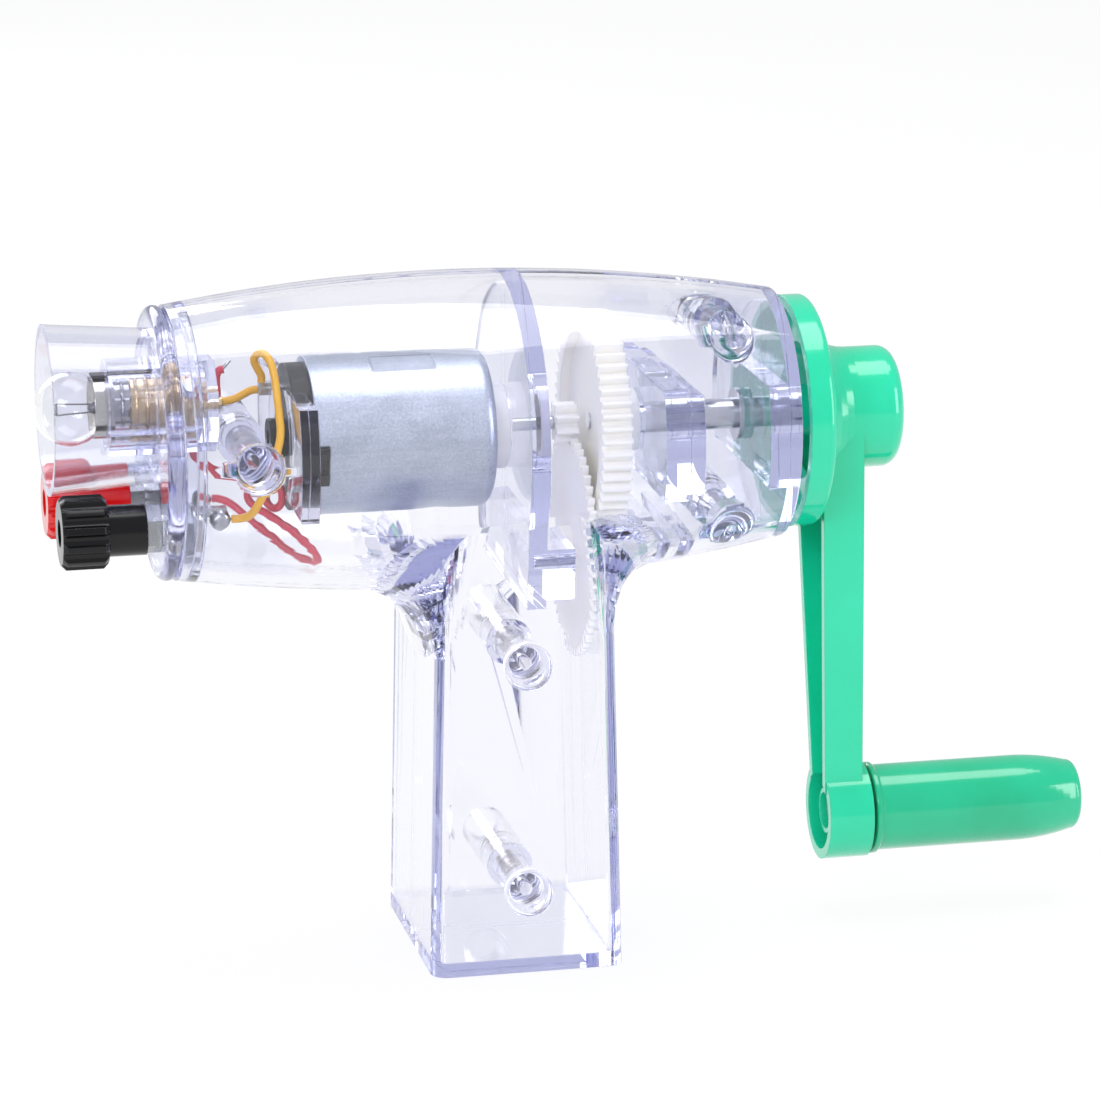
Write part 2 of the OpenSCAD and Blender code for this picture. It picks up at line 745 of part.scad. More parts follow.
module lamp_end_plate() {
    spigot_r = barrel_radius(lamp_end_x) - wall - loose_clear;
    bead_x = lamp_end_x + spigot_l - spigot_bead_l;
    color(clear_colour) difference() {
        union() {
            rod_x(plate_x, lamp_end_r - plate_edge_r, plate_t, axis_h);
            along_x(plate_x + plate_edge_r, axis_h) rotate_extrude()
                translate([lamp_end_r - plate_edge_r, 0]) circle(r = plate_edge_r);
            difference() {
                union() {
                    tube_x(lamp_end_x - feather, spigot_r, spigot_r - spigot_t,
                        spigot_l + feather, axis_h);
                    tube_x(bead_x, spigot_r + spigot_bead, spigot_r - spigot_t, spigot_bead_l,
                        axis_h);
                }
                for (side = [-1, 1]) rod_x(lamp_end_x, nut_corner_r + loose_clear,
                    spigot_l + overrun, post_h, side * post_spacing / 2);
            }
            shade();
        }
        rod_x(plate_x - overrun, holder_w / 2 / cos(180 / holder_flats) + run_clear,
            plate_t + 2 * overrun, lamp_h);
        for (side = [-1, 1])
            rod_x(plate_x - overrun, stud_r + loose_clear, plate_t + 2 * overrun, post_h,
                side * post_spacing / 2);
    }
}

module shade() {
    along_x(0, lamp_h) rotate_extrude() polygon([
        [shade_mouth_r - shade_wall, shade_x], [shade_mouth_r, shade_x],
        [shade_root_r, plate_x + feather], [shade_root_r - shade_wall, plate_x + feather]]);
}

// Motor: a can, its cap, magnets and bushes stand still, the rest turns
module motor_can() {
    inner_r = motor_r - can_t;
    color(steel_colour) difference() {
        union() {
            along_x(0, axis_h) rotate_extrude() union() {
                translate([0, can_x]) square([motor_r, can_l - can_shoulder_r]);
                translate([0, can_x]) square([motor_r - can_shoulder_r, can_l]);
                translate([motor_r - can_shoulder_r, -spacer_t - can_shoulder_r])
                    circle(r = can_shoulder_r);
            }
            rod_x(-spacer_t - feather, motor_boss_r, motor_boss_l + feather, axis_h);
        }
        rod_x(can_x - overrun, inner_r, can_l - can_t + overrun, axis_h);
        rod_x(-spacer_t - can_t - overrun, bush_r + fit_clear, can_t + motor_boss_l + 2 * overrun,
            axis_h);
        translate([can_slot_x, 0, axis_h]) rotate([can_slot_turn, 0, 0])
            translate([0, -can_slot_w / 2, motor_r - can_slot_depth])
                cube([can_slot_l, can_slot_w, can_t]);
        for (turn = notch_turns) translate([can_x, 0, axis_h]) rotate([turn, 0, 0])
            translate([-overrun, -notch_w / 2, inner_r - overrun])
                cube([notch_l + overrun, notch_w, can_t + 2 * overrun]);
    }
}

module motor_end_cap() {
    color(black_colour) difference() {
        union() {
            rod_x(cap_x, end_cap_r - fit_clear, cap_l + end_cap_in, axis_h);
            rod_x(cap_x - rear_boss_l, rear_boss_r, rear_boss_l + feather, axis_h);
            for (turn = notch_turns) translate([can_x, 0, axis_h]) rotate([turn, 0, 0])
                for (s = [-1, 1]) translate([-feather, s * (notch_w / 2 - crimp_w / 2 - loose_clear)
                        - crimp_w / 2, end_cap_r - can_t])
                    cube([notch_l - loose_clear, crimp_w, 2 * can_t + crimp_out]);
        }
        rod_x(cap_x + end_cap_wall, end_cap_r - end_cap_t, cap_l + end_cap_in, axis_h);
        rod_x(cap_x - rear_boss_l - overrun, motor_shaft_d / 2 + loose_clear,
            rear_boss_l + cap_l, axis_h);
        rod_x(cap_x - rear_boss_l + can_t, bush_r + fit_clear, rear_boss_l + cap_l, axis_h);
        for (side = [-1, 1]) terminal_shape(side, fit_clear);
    }
}

module terminal_shape(side, clear) {
    translate([cap_x - terminal_l - clear, -terminal_w / 2 - clear,
            axis_h + side * terminal_rise - terminal_t / 2 - clear])
        cube([terminal_l + cap_l + terminal_root + 2 * clear, terminal_w + 2 * clear,
            terminal_t + 2 * clear]);
}

module motor_terminals() {
    color(bright_colour) for (side = [-1, 1]) union() {
        terminal_shape(side, 0);
        translate([cap_x - terminal_l + solder_w / 2, 0, axis_h + side * terminal_rise])
            cube([solder_w, terminal_w - terminal_t, solder_w], center = true);
    }
}

module motor_magnets() {
    outer = motor_r - can_t - fit_clear;
    color(ferrite_colour) difference() {
        tube_x(-spacer_t - can_t - magnet_inset - magnet_l, outer, outer - magnet_t, magnet_l, axis_h);
        translate([-can_l - spacer_t, -motor_r, axis_h - magnet_gap_w / 2])
            cube([can_l, 2 * motor_r, magnet_gap_w]);
    }
}

module motor_front_bush() {
    color(brass_colour) tube_x(-spacer_t - can_t - (bush_l - can_t - motor_boss_l) + feather,
        bush_r, motor_shaft_d / 2 + run_clear, bush_l, axis_h);
}

module motor_rear_bush() {
    color(brass_colour) tube_x(cap_x - rear_boss_l + can_t + fit_clear, bush_r,
        motor_shaft_d / 2 + run_clear, bush_l, axis_h);
}

module motor_brushes() {
    color(copper_colour) for (side = [-1, 1])
        translate([commutator_x + commutator_l / 2 - brush_w / 2,
                side > 0 ? commutator_r + brush_gap : -commutator_r - brush_gap - brush_reach(),
                axis_h - brush_h / 2])
            cube([brush_w, brush_reach(), brush_h]);
}

function brush_reach() = end_cap_r - end_cap_t - commutator_r - brush_gap - loose_clear;

module motor_spacer() {
    color(nylon_colour) difference() {
        union() {
            rod_x(-spacer_t, spacer_r, spacer_t, axis_h);
            rod_x(-feather, spacer_spigot_r, spacer_spigot_l, axis_h);
        }
        rod_x(-spacer_t - overrun, spacer_bore_r, spacer_t + bulkhead_t + overrun, axis_h);
    }
}

module motor_shaft() {
    x0 = cap_x - rear_boss_l + can_t + fit_clear;
    color(bright_colour) rod_x(x0, motor_shaft_d / 2,
        motor_pinion_x + motor_pinion_l - shaft_end_gap - x0, axis_h);
}

module armature_core() {
    color(steel_colour) difference() {
        rod_x(core_x, armature_r, core_l, axis_h);
        for (i = [0:core_slots - 1]) translate([0, 0, axis_h]) rotate([360 * i / core_slots, 0, 0])
            rod_x(core_x - overrun, core_slot_r, core_l + 2 * overrun,
                armature_r * core_slot_depth_share);
        rod_x(core_x - overrun, motor_shaft_d / 2 + fit_clear, core_l + 2 * overrun, axis_h);
    }
}

module armature_windings() {
    color(copper_colour) for (x = [core_x - winding_l - fit_clear, core_x + core_l + fit_clear])
        tube_x(x, winding_r, motor_shaft_d / 2 + fit_clear, winding_l, axis_h);
}

module commutator() {
    color(copper_colour) difference() {
        tube_x(commutator_x - fit_clear, commutator_r, motor_shaft_d / 2 + fit_clear, commutator_l,
            axis_h);
        for (i = [0:commutator_bars - 1]) translate([commutator_x - overrun, 0, axis_h])
            rotate([360 * i / commutator_bars, 0, 0])
                translate([0, -commutator_cut / 2, commutator_r - commutator_cut])
                    cube([commutator_l + 2 * overrun, commutator_cut, overrun]);
    }
}

// Gear outlines from the involute of the base circle
function involute_angle(a) = tan(a) - a * PI / 180;

function half_tooth(r, pitch_r, shift) =
    let (base_r = pitch_r * cos(pressure_angle),
        thick = gear_module * (PI / 2 + 2 * shift * tan(pressure_angle)) - backlash)
    (thick / 2 / pitch_r + involute_angle(pressure_angle)
        - (r <= base_r ? 0 : involute_angle(acos(base_r / r)))) * 180 / PI;

function tooth_radii(teeth, shift, addendum_share) =
    let (pitch_r = gear_module * teeth / 2,
        base_r = pitch_r * cos(pressure_angle),
        root_r = gear_module * (teeth / 2 - dedendum_share + shift),
        tip_r = gear_module * (teeth / 2 + addendum_share + shift),
        start_r = max(base_r, root_r))
    concat(base_r > root_r ? [root_r] : [],
        [for (i = [0:flank_steps - 1]) start_r + (tip_r - start_r) * i / (flank_steps - 1)]);

function gear_outline(teeth, shift, addendum_share) =
    let (radii = tooth_radii(teeth, shift, addendum_share),
        pitch_r = gear_module * teeth / 2,
        last = len(radii) - 1)
    [for (t = [0:teeth - 1], i = [0:2 * last + 1])
        let (rising = i <= last,
            r = radii[rising ? i : 2 * last + 1 - i],
            a = 360 * t / teeth + (rising ? -1 : 1) * half_tooth(r, pitch_r, shift))
        [r * cos(a), r * sin(a)]];

// A large gear with a tooth pointing along the given turn, 0 is up
module large_gear(x, w, h, turn) {
    along_x(x, h) rotate([0, 0, 180 + turn])
        linear_extrude(w) polygon(gear_outline(gear_teeth, -pinion_shift, gear_addendum_share));
}

module pinion(x, w, h, turn) {
    along_x(x, h) rotate([0, 0, 180 + turn])
        linear_extrude(w) polygon(gear_outline(pinion_teeth, pinion_shift, pinion_addendum_share));
}

module drive_gear() {
    web_x = drive_gear_x + (drive_gear_w - web_t) / 2;
    color(nylon_colour) difference() {
        union() {
            difference() {
                large_gear(drive_gear_x, drive_gear_w, axis_h, 180);
                for (x = [drive_gear_x - overrun, web_x + web_t])
                    rod_x(x, gear_root_r - rim_t, web_x - drive_gear_x + overrun, axis_h);
            }
            rod_x(web_x, gear_hub_r, block_x - shaft_end_gap - web_x, axis_h);
        }
        rod_x(drive_gear_x - overrun, crank_spigot_d / 2 + fit_clear, block_x, axis_h);
        rod_x(drive_gear_end_x, crank_shaft_d / 2 + fit_clear, block_x, axis_h);
    }
}

module layshaft_gear() {
    hub_x = bracket_x + bracket_l + shaft_end_gap;
    color(nylon_colour) difference() {
        union() {
            large_gear(lay_gear_x, lay_gear_w, layshaft_h, 0);
            rod_x(hub_x, lay_hub_r, lay_gear_x - hub_x + feather, layshaft_h);
        }
        rod_x(hub_x - overrun, layshaft_d / 2 + fit_clear, block_x, layshaft_h);
    }
}

module layshaft_pinion() {
    x0 = lay_gear_x + lay_gear_w + feather;
    color(nylon_colour) difference() {
        union() {
            pinion(x0, drive_gear_end_x + shaft_end_gap - x0, layshaft_h, 180 / pinion_teeth);
            rod_x(drive_gear_end_x, lay_sleeve_r, rib_x - shaft_end_gap - drive_gear_end_x, layshaft_h);
        }
        rod_x(x0 - overrun, layshaft_d / 2 + fit_clear, block_x, layshaft_h);
    }
}

module motor_pinion() {
    color(nylon_colour) difference() {
        pinion(motor_pinion_x, motor_pinion_l, axis_h, 180 + 180 / pinion_teeth);
        rod_x(motor_pinion_x - overrun, motor_shaft_d / 2 + fit_clear,
            motor_pinion_l + 2 * overrun, axis_h);
    }
}

module layshaft() {
    x0 = bracket_x + 2 * shaft_end_gap;
    color(bright_colour) rod_x(x0, layshaft_d / 2,
        rib_x + 2 * rib_t + rib_gap - shaft_end_gap * 2 - x0, layshaft_h);
}

module crank_shaft() {
    spigot_x = drive_gear_x + (drive_gear_w - web_t) / 2 - shaft_end_gap;
    color(bright_colour) difference() {
        union() {
            rod_x(drive_gear_end_x + feather, crank_shaft_d / 2,
                shaft_end_x - drive_gear_end_x - 2 * feather, axis_h);
            rod_x(spigot_x, crank_spigot_d / 2, drive_gear_w, axis_h);
        }
        rod_x(shaft_end_x - crank_screw_l, crank_screw_d / 2 + fit_clear,
            crank_screw_l + overrun, axis_h);
    }
}

module shaft_washer() {
    color(bright_colour) tube_x(end_block_x - washer_t - shaft_end_gap, washer_r,
        crank_shaft_d / 2 + fit_clear, washer_t, axis_h);
}

// Crank: cup, hub, channel arm and grip boss moulded in one piece
// Points of a quarter turn, as shares across and along
quarter = [for (k = [0:turned_steps]) let (a = 90 * k / turned_steps) [sin(a), cos(a)]];
function crank_profile() = concat(
    [[0, cup_x], [cup_r, cup_x]],
    [for (q = quarter) [cup_r - cup_round * (1 - q[1]), cup_end_x - cup_round * (1 - q[0])]],
    [for (q = quarter) [flare_r - (flare_r - hub_r) * q[0], cup_end_x + flare_l * (1 - q[1])]],
    [for (q = quarter) [hub_r - hub_round * (1 - q[1]), hub_end_x - hub_round * (1 - q[0])]],
    [[0, hub_end_x]]);

module arm_form(inset) {
    top_w = arm_top_w / 2 - inset;
    low_w = arm_low_w / 2 - inset;
    intersection() {
        translate([arm_inner_x - overrun, 0, 0]) rotate([90, 0, 90])
            linear_extrude(arm_outer_x - inset - arm_inner_x + overrun) polygon([
                [-top_w, axis_h], [top_w, axis_h], [low_w, grip_h], [-low_w, grip_h]]);
        translate([0, hub_r, 0]) rotate([90, 0, 0]) linear_extrude(2 * hub_r) polygon([
            [arm_inner_x - (inset > 0 ? overrun : 0), axis_h],
            [arm_outer_x - arm_lean - inset, axis_h], [arm_outer_x - inset, grip_h],
            [arm_low_x - (inset > 0 ? overrun : 0), grip_h]]);
    }
}

module crank() {
    inner_hub_r = hub_r - crank_wall;
    color(green_colour) difference() {
        union() {
            difference() {
                union() {
                    along_x(0, axis_h) rotate_extrude() polygon(crank_profile());
                    arm_form(0);
                    rod_x(boss_x, boss_r, boss_end_x - boss_x, grip_h);
                }
                rod_x(cup_x - overrun, cup_r - crank_wall, cup_l - crank_wall + overrun, axis_h);
                along_x(cup_end_x - crank_wall - feather, axis_h)
                    cylinder(r1 = cone_r - crank_wall, r2 = inner_hub_r, h = cone_l);
                rod_x(cup_end_x - crank_wall, inner_hub_r,
                    hub_end_x - cup_end_x - hub_recess_l, axis_h);
                difference() {
                    arm_form(crank_wall);
                    rod_x(cup_x, cup_r, cup_l, axis_h);
                }
                rod_x(boss_x - overrun, boss_r - crank_wall,
                    boss_end_x - boss_x - crank_wall + overrun, grip_h);
            }
            rod_x(cup_x, hub_tube_r, hub_end_x - cup_x - crank_wall, axis_h);
            rod_x(boss_tube_x, boss_tube_r, boss_end_x - boss_tube_x - crank_wall + feather, grip_h);
        }
        rod_x(cup_x - overrun, crank_shaft_d / 2 + fit_clear, shaft_end_x - cup_x + overrun, axis_h);
        rod_x(cup_x, crank_screw_d / 2 + loose_clear, hub_end_x, axis_h);
        rod_x(hub_end_x - hub_recess_l, hub_recess_r, hub_recess_l + overrun, axis_h);
        rod_x(boss_x - overrun, boss_bore_r, boss_bore_l + overrun, grip_h);
        rod_x(boss_x - overrun, grip_screw_d / 2 + fit_clear, 2 * boss_end_x, grip_h);
    }
}

module crank_screw() {
    head_x = hub_end_x - hub_recess_l + feather;
    color(bright_colour) difference() {
        union() {
            rod_x(shaft_end_x - crank_screw_l + shaft_end_gap, crank_screw_d / 2,
                head_x - shaft_end_x + crank_screw_l - shaft_end_gap + feather, axis_h);
            rod_x(head_x, crank_screw_head_r, crank_screw_head_t, axis_h);
        }
        for (turn = [0, 90]) translate([head_x + crank_screw_head_t, 0, axis_h])
            rotate([turn, 0, 0])
                cube([2 * drive_slot_depth, crank_screw_head_r * 1.2, drive_slot_w], center = true);
    }
}

// Grip: a turned handle on a long screw
grip_swell_x = grip_x + grip_l * grip_swell_share;
module grip_outline() {
    union() {
        polygon(concat([[0, grip_x], [grip_lip_r - grip_lip_l / 4, grip_x],
            [grip_lip_r, grip_x + grip_lip_l / 4], [grip_lip_r, grip_x + grip_lip_l],
            [grip_r, grip_x + grip_lip_l + grip_lip_r - grip_r]],
            [for (k = [0:turned_steps]) let (share = k / turned_steps)
                [grip_r - (grip_r - grip_end_r) * pow(share, 2),
                    grip_swell_x + (grip_end_x - grip_round - grip_swell_x) * share]],
            [[grip_end_r - grip_round, grip_end_x - grip_round], [0, grip_end_x - grip_round]]));
        translate([0, grip_end_x - grip_round * 2]) square([grip_end_r - grip_round, grip_round * 2]);
        translate([grip_end_r - grip_round, grip_end_x - grip_round]) circle(r = grip_round);
    }
}

module grip() {
    bore_r = grip_screw_d / 2 + run_clear;
    color(green_colour) difference() {
        along_x(0, grip_h) rotate_extrude() intersection() {
            grip_outline();
            translate([0, grip_x]) square([grip_lip_r, grip_l]);
        }
        rod_x(grip_x - overrun, bore_r, grip_l + 2 * overrun, grip_h);
        rod_x(grip_end_x - grip_counterbore_l, grip_counterbore_r, grip_counterbore_l + overrun,
            grip_h);
    }
}

module grip_washer() {
    color(bright_colour) tube_x(grip_end_x - grip_counterbore_l + seat_gap, grip_head_r,
        grip_screw_d / 2 + fit_clear, grip_washer_t, grip_h);
}

module grip_screw() {
    head_x = grip_end_x - grip_counterbore_l + seat_gap + grip_washer_t + feather;
    x0 = boss_x + boss_bore_l - grip_tip_out;
    color(bright_colour) difference() {
        union() {
            rod_x(x0, grip_screw_d / 2, head_x - x0 + feather, grip_h);
            rod_x(head_x, grip_head_r, grip_head_t, grip_h);
        }
        for (turn = [0, 90]) translate([head_x + grip_head_t, 0, grip_h]) rotate([turn, 0, 0])
            cube([2 * drive_slot_depth, grip_head_r * 1.2, drive_slot_w], center = true);
    }
}

// Lamp holder and lamp
module lamp_holder() {
    corner_r = holder_w / 2 / cos(180 / holder_flats);
    color(clear_colour) difference() {
        along_x(holder_x, lamp_h) rotate([0, 0, 180 / holder_flats])
            cylinder(r = corner_r, h = holder_l, $fn = holder_flats);
        rod_x(holder_x - overrun, collar_r + loose_clear, socket_x - holder_x + overrun, lamp_h);
        rod_x(socket_x - feather, socket_out_r + thread_rib_r + fit_clear,
            holder_l - holder_back_t - (socket_x - holder_x), lamp_h);
        rod_x(holder_end_x - holder_back_t - overrun, holder_screw_r, holder_back_t + 2 * overrun,
            lamp_h);
        translate([holder_x - overrun, -strip_w / 2 - fit_clear,
                lamp_h + collar_r + loose_clear])
            cube([strip_in + overrun, strip_w + 2 * fit_clear, strip_t + 2 * fit_clear]);
        in_holder_flat() cylinder(r = holder_screw_r + fit_clear, h = holder_w);
    }
}

module lamp_socket() {
    ribs = floor(socket_l / lamp_pitch);
    color(brass_colour) difference() {
        along_x(0, lamp_h) rotate_extrude() union() {
            translate([0, socket_x]) square([socket_out_r, socket_l]);
            for (i = [0:ribs - 1])
                translate([socket_out_r, socket_x + lamp_pitch * (i + half_share)])
                    circle(r = thread_rib_r, $fn = rib_fn);
        }
        rod_x(socket_x - overrun, socket_in_r, socket_l + 2 * overrun, lamp_h);
    }
}

module lamp_contact() {
    x0 = holder_end_x - holder_back_t - contact_t - fit_clear;
    bump_x = bulb_tip_x + tip_l + run_clear;
    color(brass_colour) union() {
        rod_x(x0, contact_r, contact_t, lamp_h);
        rod_x(bump_x, contact_bump_r, x0 - bump_x + feather, lamp_h);
        rod_x(x0, holder_screw_r - fit_clear, holder_back_t + contact_t + solder_l, lamp_h);
    }
}

module lamp_strip() {
    color(ferrite_colour)
        translate([holder_x - strip_out, -strip_w / 2, lamp_h + collar_r + loose_clear + fit_clear])
            cube([strip_out + strip_in - fit_clear, strip_w, strip_t]);
}

// Puts its child in the holder's sloping flat, standing out of the socket
module in_holder_flat() {
    translate([holder_screw_x, 0, lamp_h]) rotate([holder_screw_turn, 0, 0])
        translate([0, -holder_screw_shift, 0]) children();
}

module lamp_holder_screw() {
    foot = socket_out_r + thread_rib_r + fit_clear;
    color(bright_colour) in_holder_flat() union() {
        translate([0, 0, foot]) cylinder(r = holder_screw_r, h = holder_w / 2 - foot + feather);
        translate([0, 0, holder_w / 2]) cylinder(r = holder_screw_head_r, h = strip_t);
    }
}

module bulb_glass() {
    color(glass_colour) difference() {
        union() {
            translate([globe_x, 0, lamp_h]) sphere(r = globe_r);
            rod_x(globe_x, neck_r, collar_x + neck_l - globe_x, lamp_h);
        }
        translate([globe_x, 0, lamp_h]) sphere(r = globe_r - globe_t);
        rod_x(globe_x, neck_r - globe_t, collar_x + neck_l + overrun - globe_x, lamp_h);
    }
}

module bulb_shell() {
    ribs = floor((bulb_shell_l - collar_l / 2) / lamp_pitch);
    x1 = collar_x + collar_l;
    seat_r = globe_r + run_clear;
    color(bright_colour) difference() {
        along_x(0, lamp_h) rotate_extrude() union() {
            translate([0, collar_x]) square([collar_r, collar_l]);
            translate([0, x1 - feather]) square([lamp_thread_r - thread_rib_r, bulb_shell_l]);
            for (i = [0:ribs - 1]) translate([lamp_thread_r - thread_rib_r,
                    x1 + lamp_pitch * (i + 1) - thread_rib_r]) circle(r = thread_rib_r, $fn = rib_fn);
        }
        translate([globe_x, 0, lamp_h]) sphere(r = seat_r);
        rod_x(collar_x - overrun, neck_r + run_clear / 2, neck_l + overrun + fit_clear, lamp_h);
        rod_x(collar_x - overrun, lamp_thread_r - thread_rib_r - bulb_shell_t,
            collar_l + bulb_shell_l + 2 * overrun, lamp_h);
    }
}

module bulb_insulator() {
    x0 = collar_x + collar_l + bulb_shell_l;
    color(black_colour) difference() {
        union() {
            along_x(x0, lamp_h) cylinder(r1 = lamp_thread_r - thread_rib_r, r2 = insulator_r,
                h = insulator_l);
            rod_x(x0 - bulb_shell_t, lamp_thread_r - thread_rib_r - bulb_shell_t - fit_clear,
                bulb_shell_t + feather, lamp_h);
        }
        rod_x(x0 - overrun, tip_r / 2 + run_clear, insulator_l + 2 * overrun, lamp_h);
    }
}

bulb_tip_x = collar_x + collar_l + bulb_shell_l + insulator_l + run_clear;
module bulb_tip() {
    color(bright_colour) union() {
        rod_x(bulb_tip_x, tip_r, tip_l, lamp_h);
        rod_x(bulb_tip_x - insulator_l, tip_r / 2, insulator_l + feather, lamp_h);
    }
}

module bulb_filament() {
    stem_x = collar_x - stem_out;
    foot_x = collar_x + neck_l - stem_foot_t;
    color(steel_colour) union() {
        rod_x(stem_x, stem_r, foot_x - stem_x + feather, lamp_h);
        rod_x(foot_x, neck_r - globe_t - fit_clear, stem_foot_t, lamp_h);
        for (s = [-1, 1]) rod_x(stem_x - support_l, support_r, support_l + feather,
            lamp_h + s * support_gap / 2);
        translate([stem_x - support_l + support_r, 0, lamp_h - support_gap / 2])
            cylinder(r = filament_r, h = support_gap);
    }
}

// Binding posts, the same but for side and colour
module post_cap(side, colour) {
    bore_r = stud_r + run_clear;
    color(colour) translate([0, side * post_spacing / 2, 0]) difference() {
        union() {
            intersection() {
                along_x(cap_x0, post_h) linear_extrude(cap_rib_l) difference() {
                    circle(r = cap_rib_r);
                    for (i = [0:cap_ribs - 1]) rotate(360 * i / cap_ribs)
                        translate([cap_rib_r + cap_rib_depth * cap_notch_out_share, 0])
                            circle(r = cap_rib_depth);
                }
                along_x(0, post_h) rotate_extrude() polygon([[0, cap_x0],
                    [cap_rib_r - cap_bevel, cap_x0], [cap_rib_r, cap_x0 + cap_bevel],
                    [cap_rib_r, cap_skirt_x - cap_bevel], [cap_rib_r - cap_bevel, cap_skirt_x],
                    [0, cap_skirt_x]]);
            }
            rod_x(cap_skirt_x - feather, cap_skirt_r, cap_skirt_l + feather - run_clear, post_h);
        }
        rod_x(cap_x0 - overrun, cap_mouth_r, cap_lid_t + 2 * overrun, post_h);
        rod_x(cap_x0 + cap_lid_t, bore_r, cap_rib_l + cap_skirt_l, post_h);
        rod_x(insert_x - run_clear, insert_r + run_clear, insert_l + 2 * run_clear, post_h);
    }
}

module post_insert(side) {
    color(brass_colour) tube_x(insert_x, insert_r, stud_r + run_clear, insert_l, post_h,
        side * post_spacing / 2);
}

module post_stud(side) {
    color(bright_colour) difference() {
        rod_x(stud_x, stud_r, stud_end_x - stud_x, post_h, side * post_spacing / 2);
        rod_x(stud_x - overrun, banana_d / 2, banana_depth + overrun, post_h,
            side * post_spacing / 2);
    }
}

module post_nuts(side) {
    color(bright_colour) translate([0, side * post_spacing / 2, 0]) difference() {
        union() {
            rod_x(nut_x, nut_corner_r, nut_t - run_clear, post_h, sides = 6);
            rod_x(lamp_end_x + run_clear, nut_corner_r, inner_nut_t, post_h, sides = 6);
        }
        rod_x(nut_x - overrun, stud_r + fit_clear, nut_t + plate_t + inner_nut_t + 3 * overrun,
            post_h);
    }
}

// Solder lug: a ring on the stud, a tab along it and a bead of solder past the stud's end
module post_lug(side) {
    tab_h = stud_r + fit_clear;
    color(bright_colour) translate([0, side * post_spacing / 2, post_h])
        mirror([0, 0, side > 0 ? 1 : 0]) union() {
            difference() {
                rod_x(lug_x, lug_r, lug_t, 0);
                rod_x(lug_x - overrun, tab_h, lug_t + 2 * overrun, 0);
            }
            translate([lug_x, -lug_w / 2, tab_h]) cube([bead_end_x - lug_x - lug_t, lug_w, lug_t]);
            rod_x(bead_end_x - bead_l, bead_r, bead_l, bead_rise);
        }
}

module black_post_cap() { post_cap(front, black_colour); }
module black_post_insert() { post_insert(front); }
module black_post_stud() { post_stud(front); }
module black_post_nuts() { post_nuts(front); }
module black_post_lug() { post_lug(front); }
module red_post_cap() { post_cap(rear, red_colour); }
module red_post_insert() { post_insert(rear); }
module red_post_stud() { post_stud(rear); }
module red_post_nuts() { post_nuts(rear); }
module red_post_lug() { post_lug(rear); }

// Leads: a tube swept along its route, each ring square to the route
function unit(v) = v / norm(v);
function route_direction(p, i) =
    i == 0 ? unit(p[1] - p[0])
    : i == len(p) - 1 ? unit(p[i] - p[i - 1])
    : unit(unit(p[i] - p[i - 1]) + unit(p[i + 1] - p[i]));
function carry_side(side, along) = unit(side - (side * along) * along);
function ring_sides(p, i) =
    i == 0 ? [carry_side(abs(route_direction(p, 0)[1]) < 0.9 ? [0, 1, 0] : [0, 0, 1],
        route_direction(p, 0))]
    : let (before = ring_sides(p, i - 1))
        concat(before, [carry_side(before[i - 1], route_direction(p, i))]);

module lead(route_from_axis, colour) {
    route = [for (p = route_from_axis) p + [0, 0, axis_h]];
    last = len(route) - 1;
    sides = ring_sides(route, last);
    points = [for (i = [0:last], k = [0:lead_sides - 1])
        let (across = sides[i], over = cross(route_direction(route, i), across),
            a = 360 * k / lead_sides)
        route[i] + lead_d / 2 * (cos(a) * across + sin(a) * over)];
    walls = [for (i = [0:last - 1], k = [0:lead_sides - 1], half = [0, 1])
        let (n = (k + 1) % lead_sides, a = i * lead_sides, b = a + lead_sides)
        half == 0 ? [a + k, b + k, b + n] : [a + k, b + n, a + n]];
    start = [for (k = [1:lead_sides - 2]) [0, k, k + 1]];
    end = [for (k = [1:lead_sides - 2])
        [last * lead_sides, last * lead_sides + k + 1, last * lead_sides + k]];
    color(colour) polyhedron(points, concat(walls, start, end));
}

module lamp_lead_yellow() { lead(lamp_lead_yellow_route, yellow_colour); }
module post_lead_yellow() { lead(post_lead_yellow_route, yellow_colour); }
module lamp_lead_red() { lead(lamp_lead_red_route, wire_red_colour); }
module post_lead_red() { lead(post_lead_red_route, wire_red_colour); }
module lamp_tail_red() { lead(lamp_tail_red_route, wire_red_colour); }

front_shell();
rear_shell();
lamp_end_plate();
housing_screws();
motor_can();
motor_end_cap();
motor_magnets();
motor_front_bush();
motor_rear_bush();
motor_terminals();
motor_brushes();
motor_spacer();
motor_shaft();
armature_core();
armature_windings();
commutator();
motor_pinion();
layshaft();
layshaft_gear();
layshaft_pinion();
drive_gear();
crank_shaft();
shaft_washer();
crank();
crank_screw();
grip();
grip_screw();
grip_washer();
lamp_holder();
lamp_socket();
lamp_contact();
lamp_strip();
lamp_holder_screw();
bulb_glass();
bulb_shell();
bulb_insulator();
bulb_tip();
bulb_filament();
black_post_cap();
black_post_insert();
black_post_stud();
black_post_nuts();
black_post_lug();
red_post_cap();
red_post_insert();
red_post_stud();
red_post_nuts();
red_post_lug();
lamp_lead_yellow();
post_lead_yellow();
lamp_lead_red();
post_lead_red();
lamp_tail_red();
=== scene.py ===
import json
import math

import bpy
from mathutils import Matrix, Vector


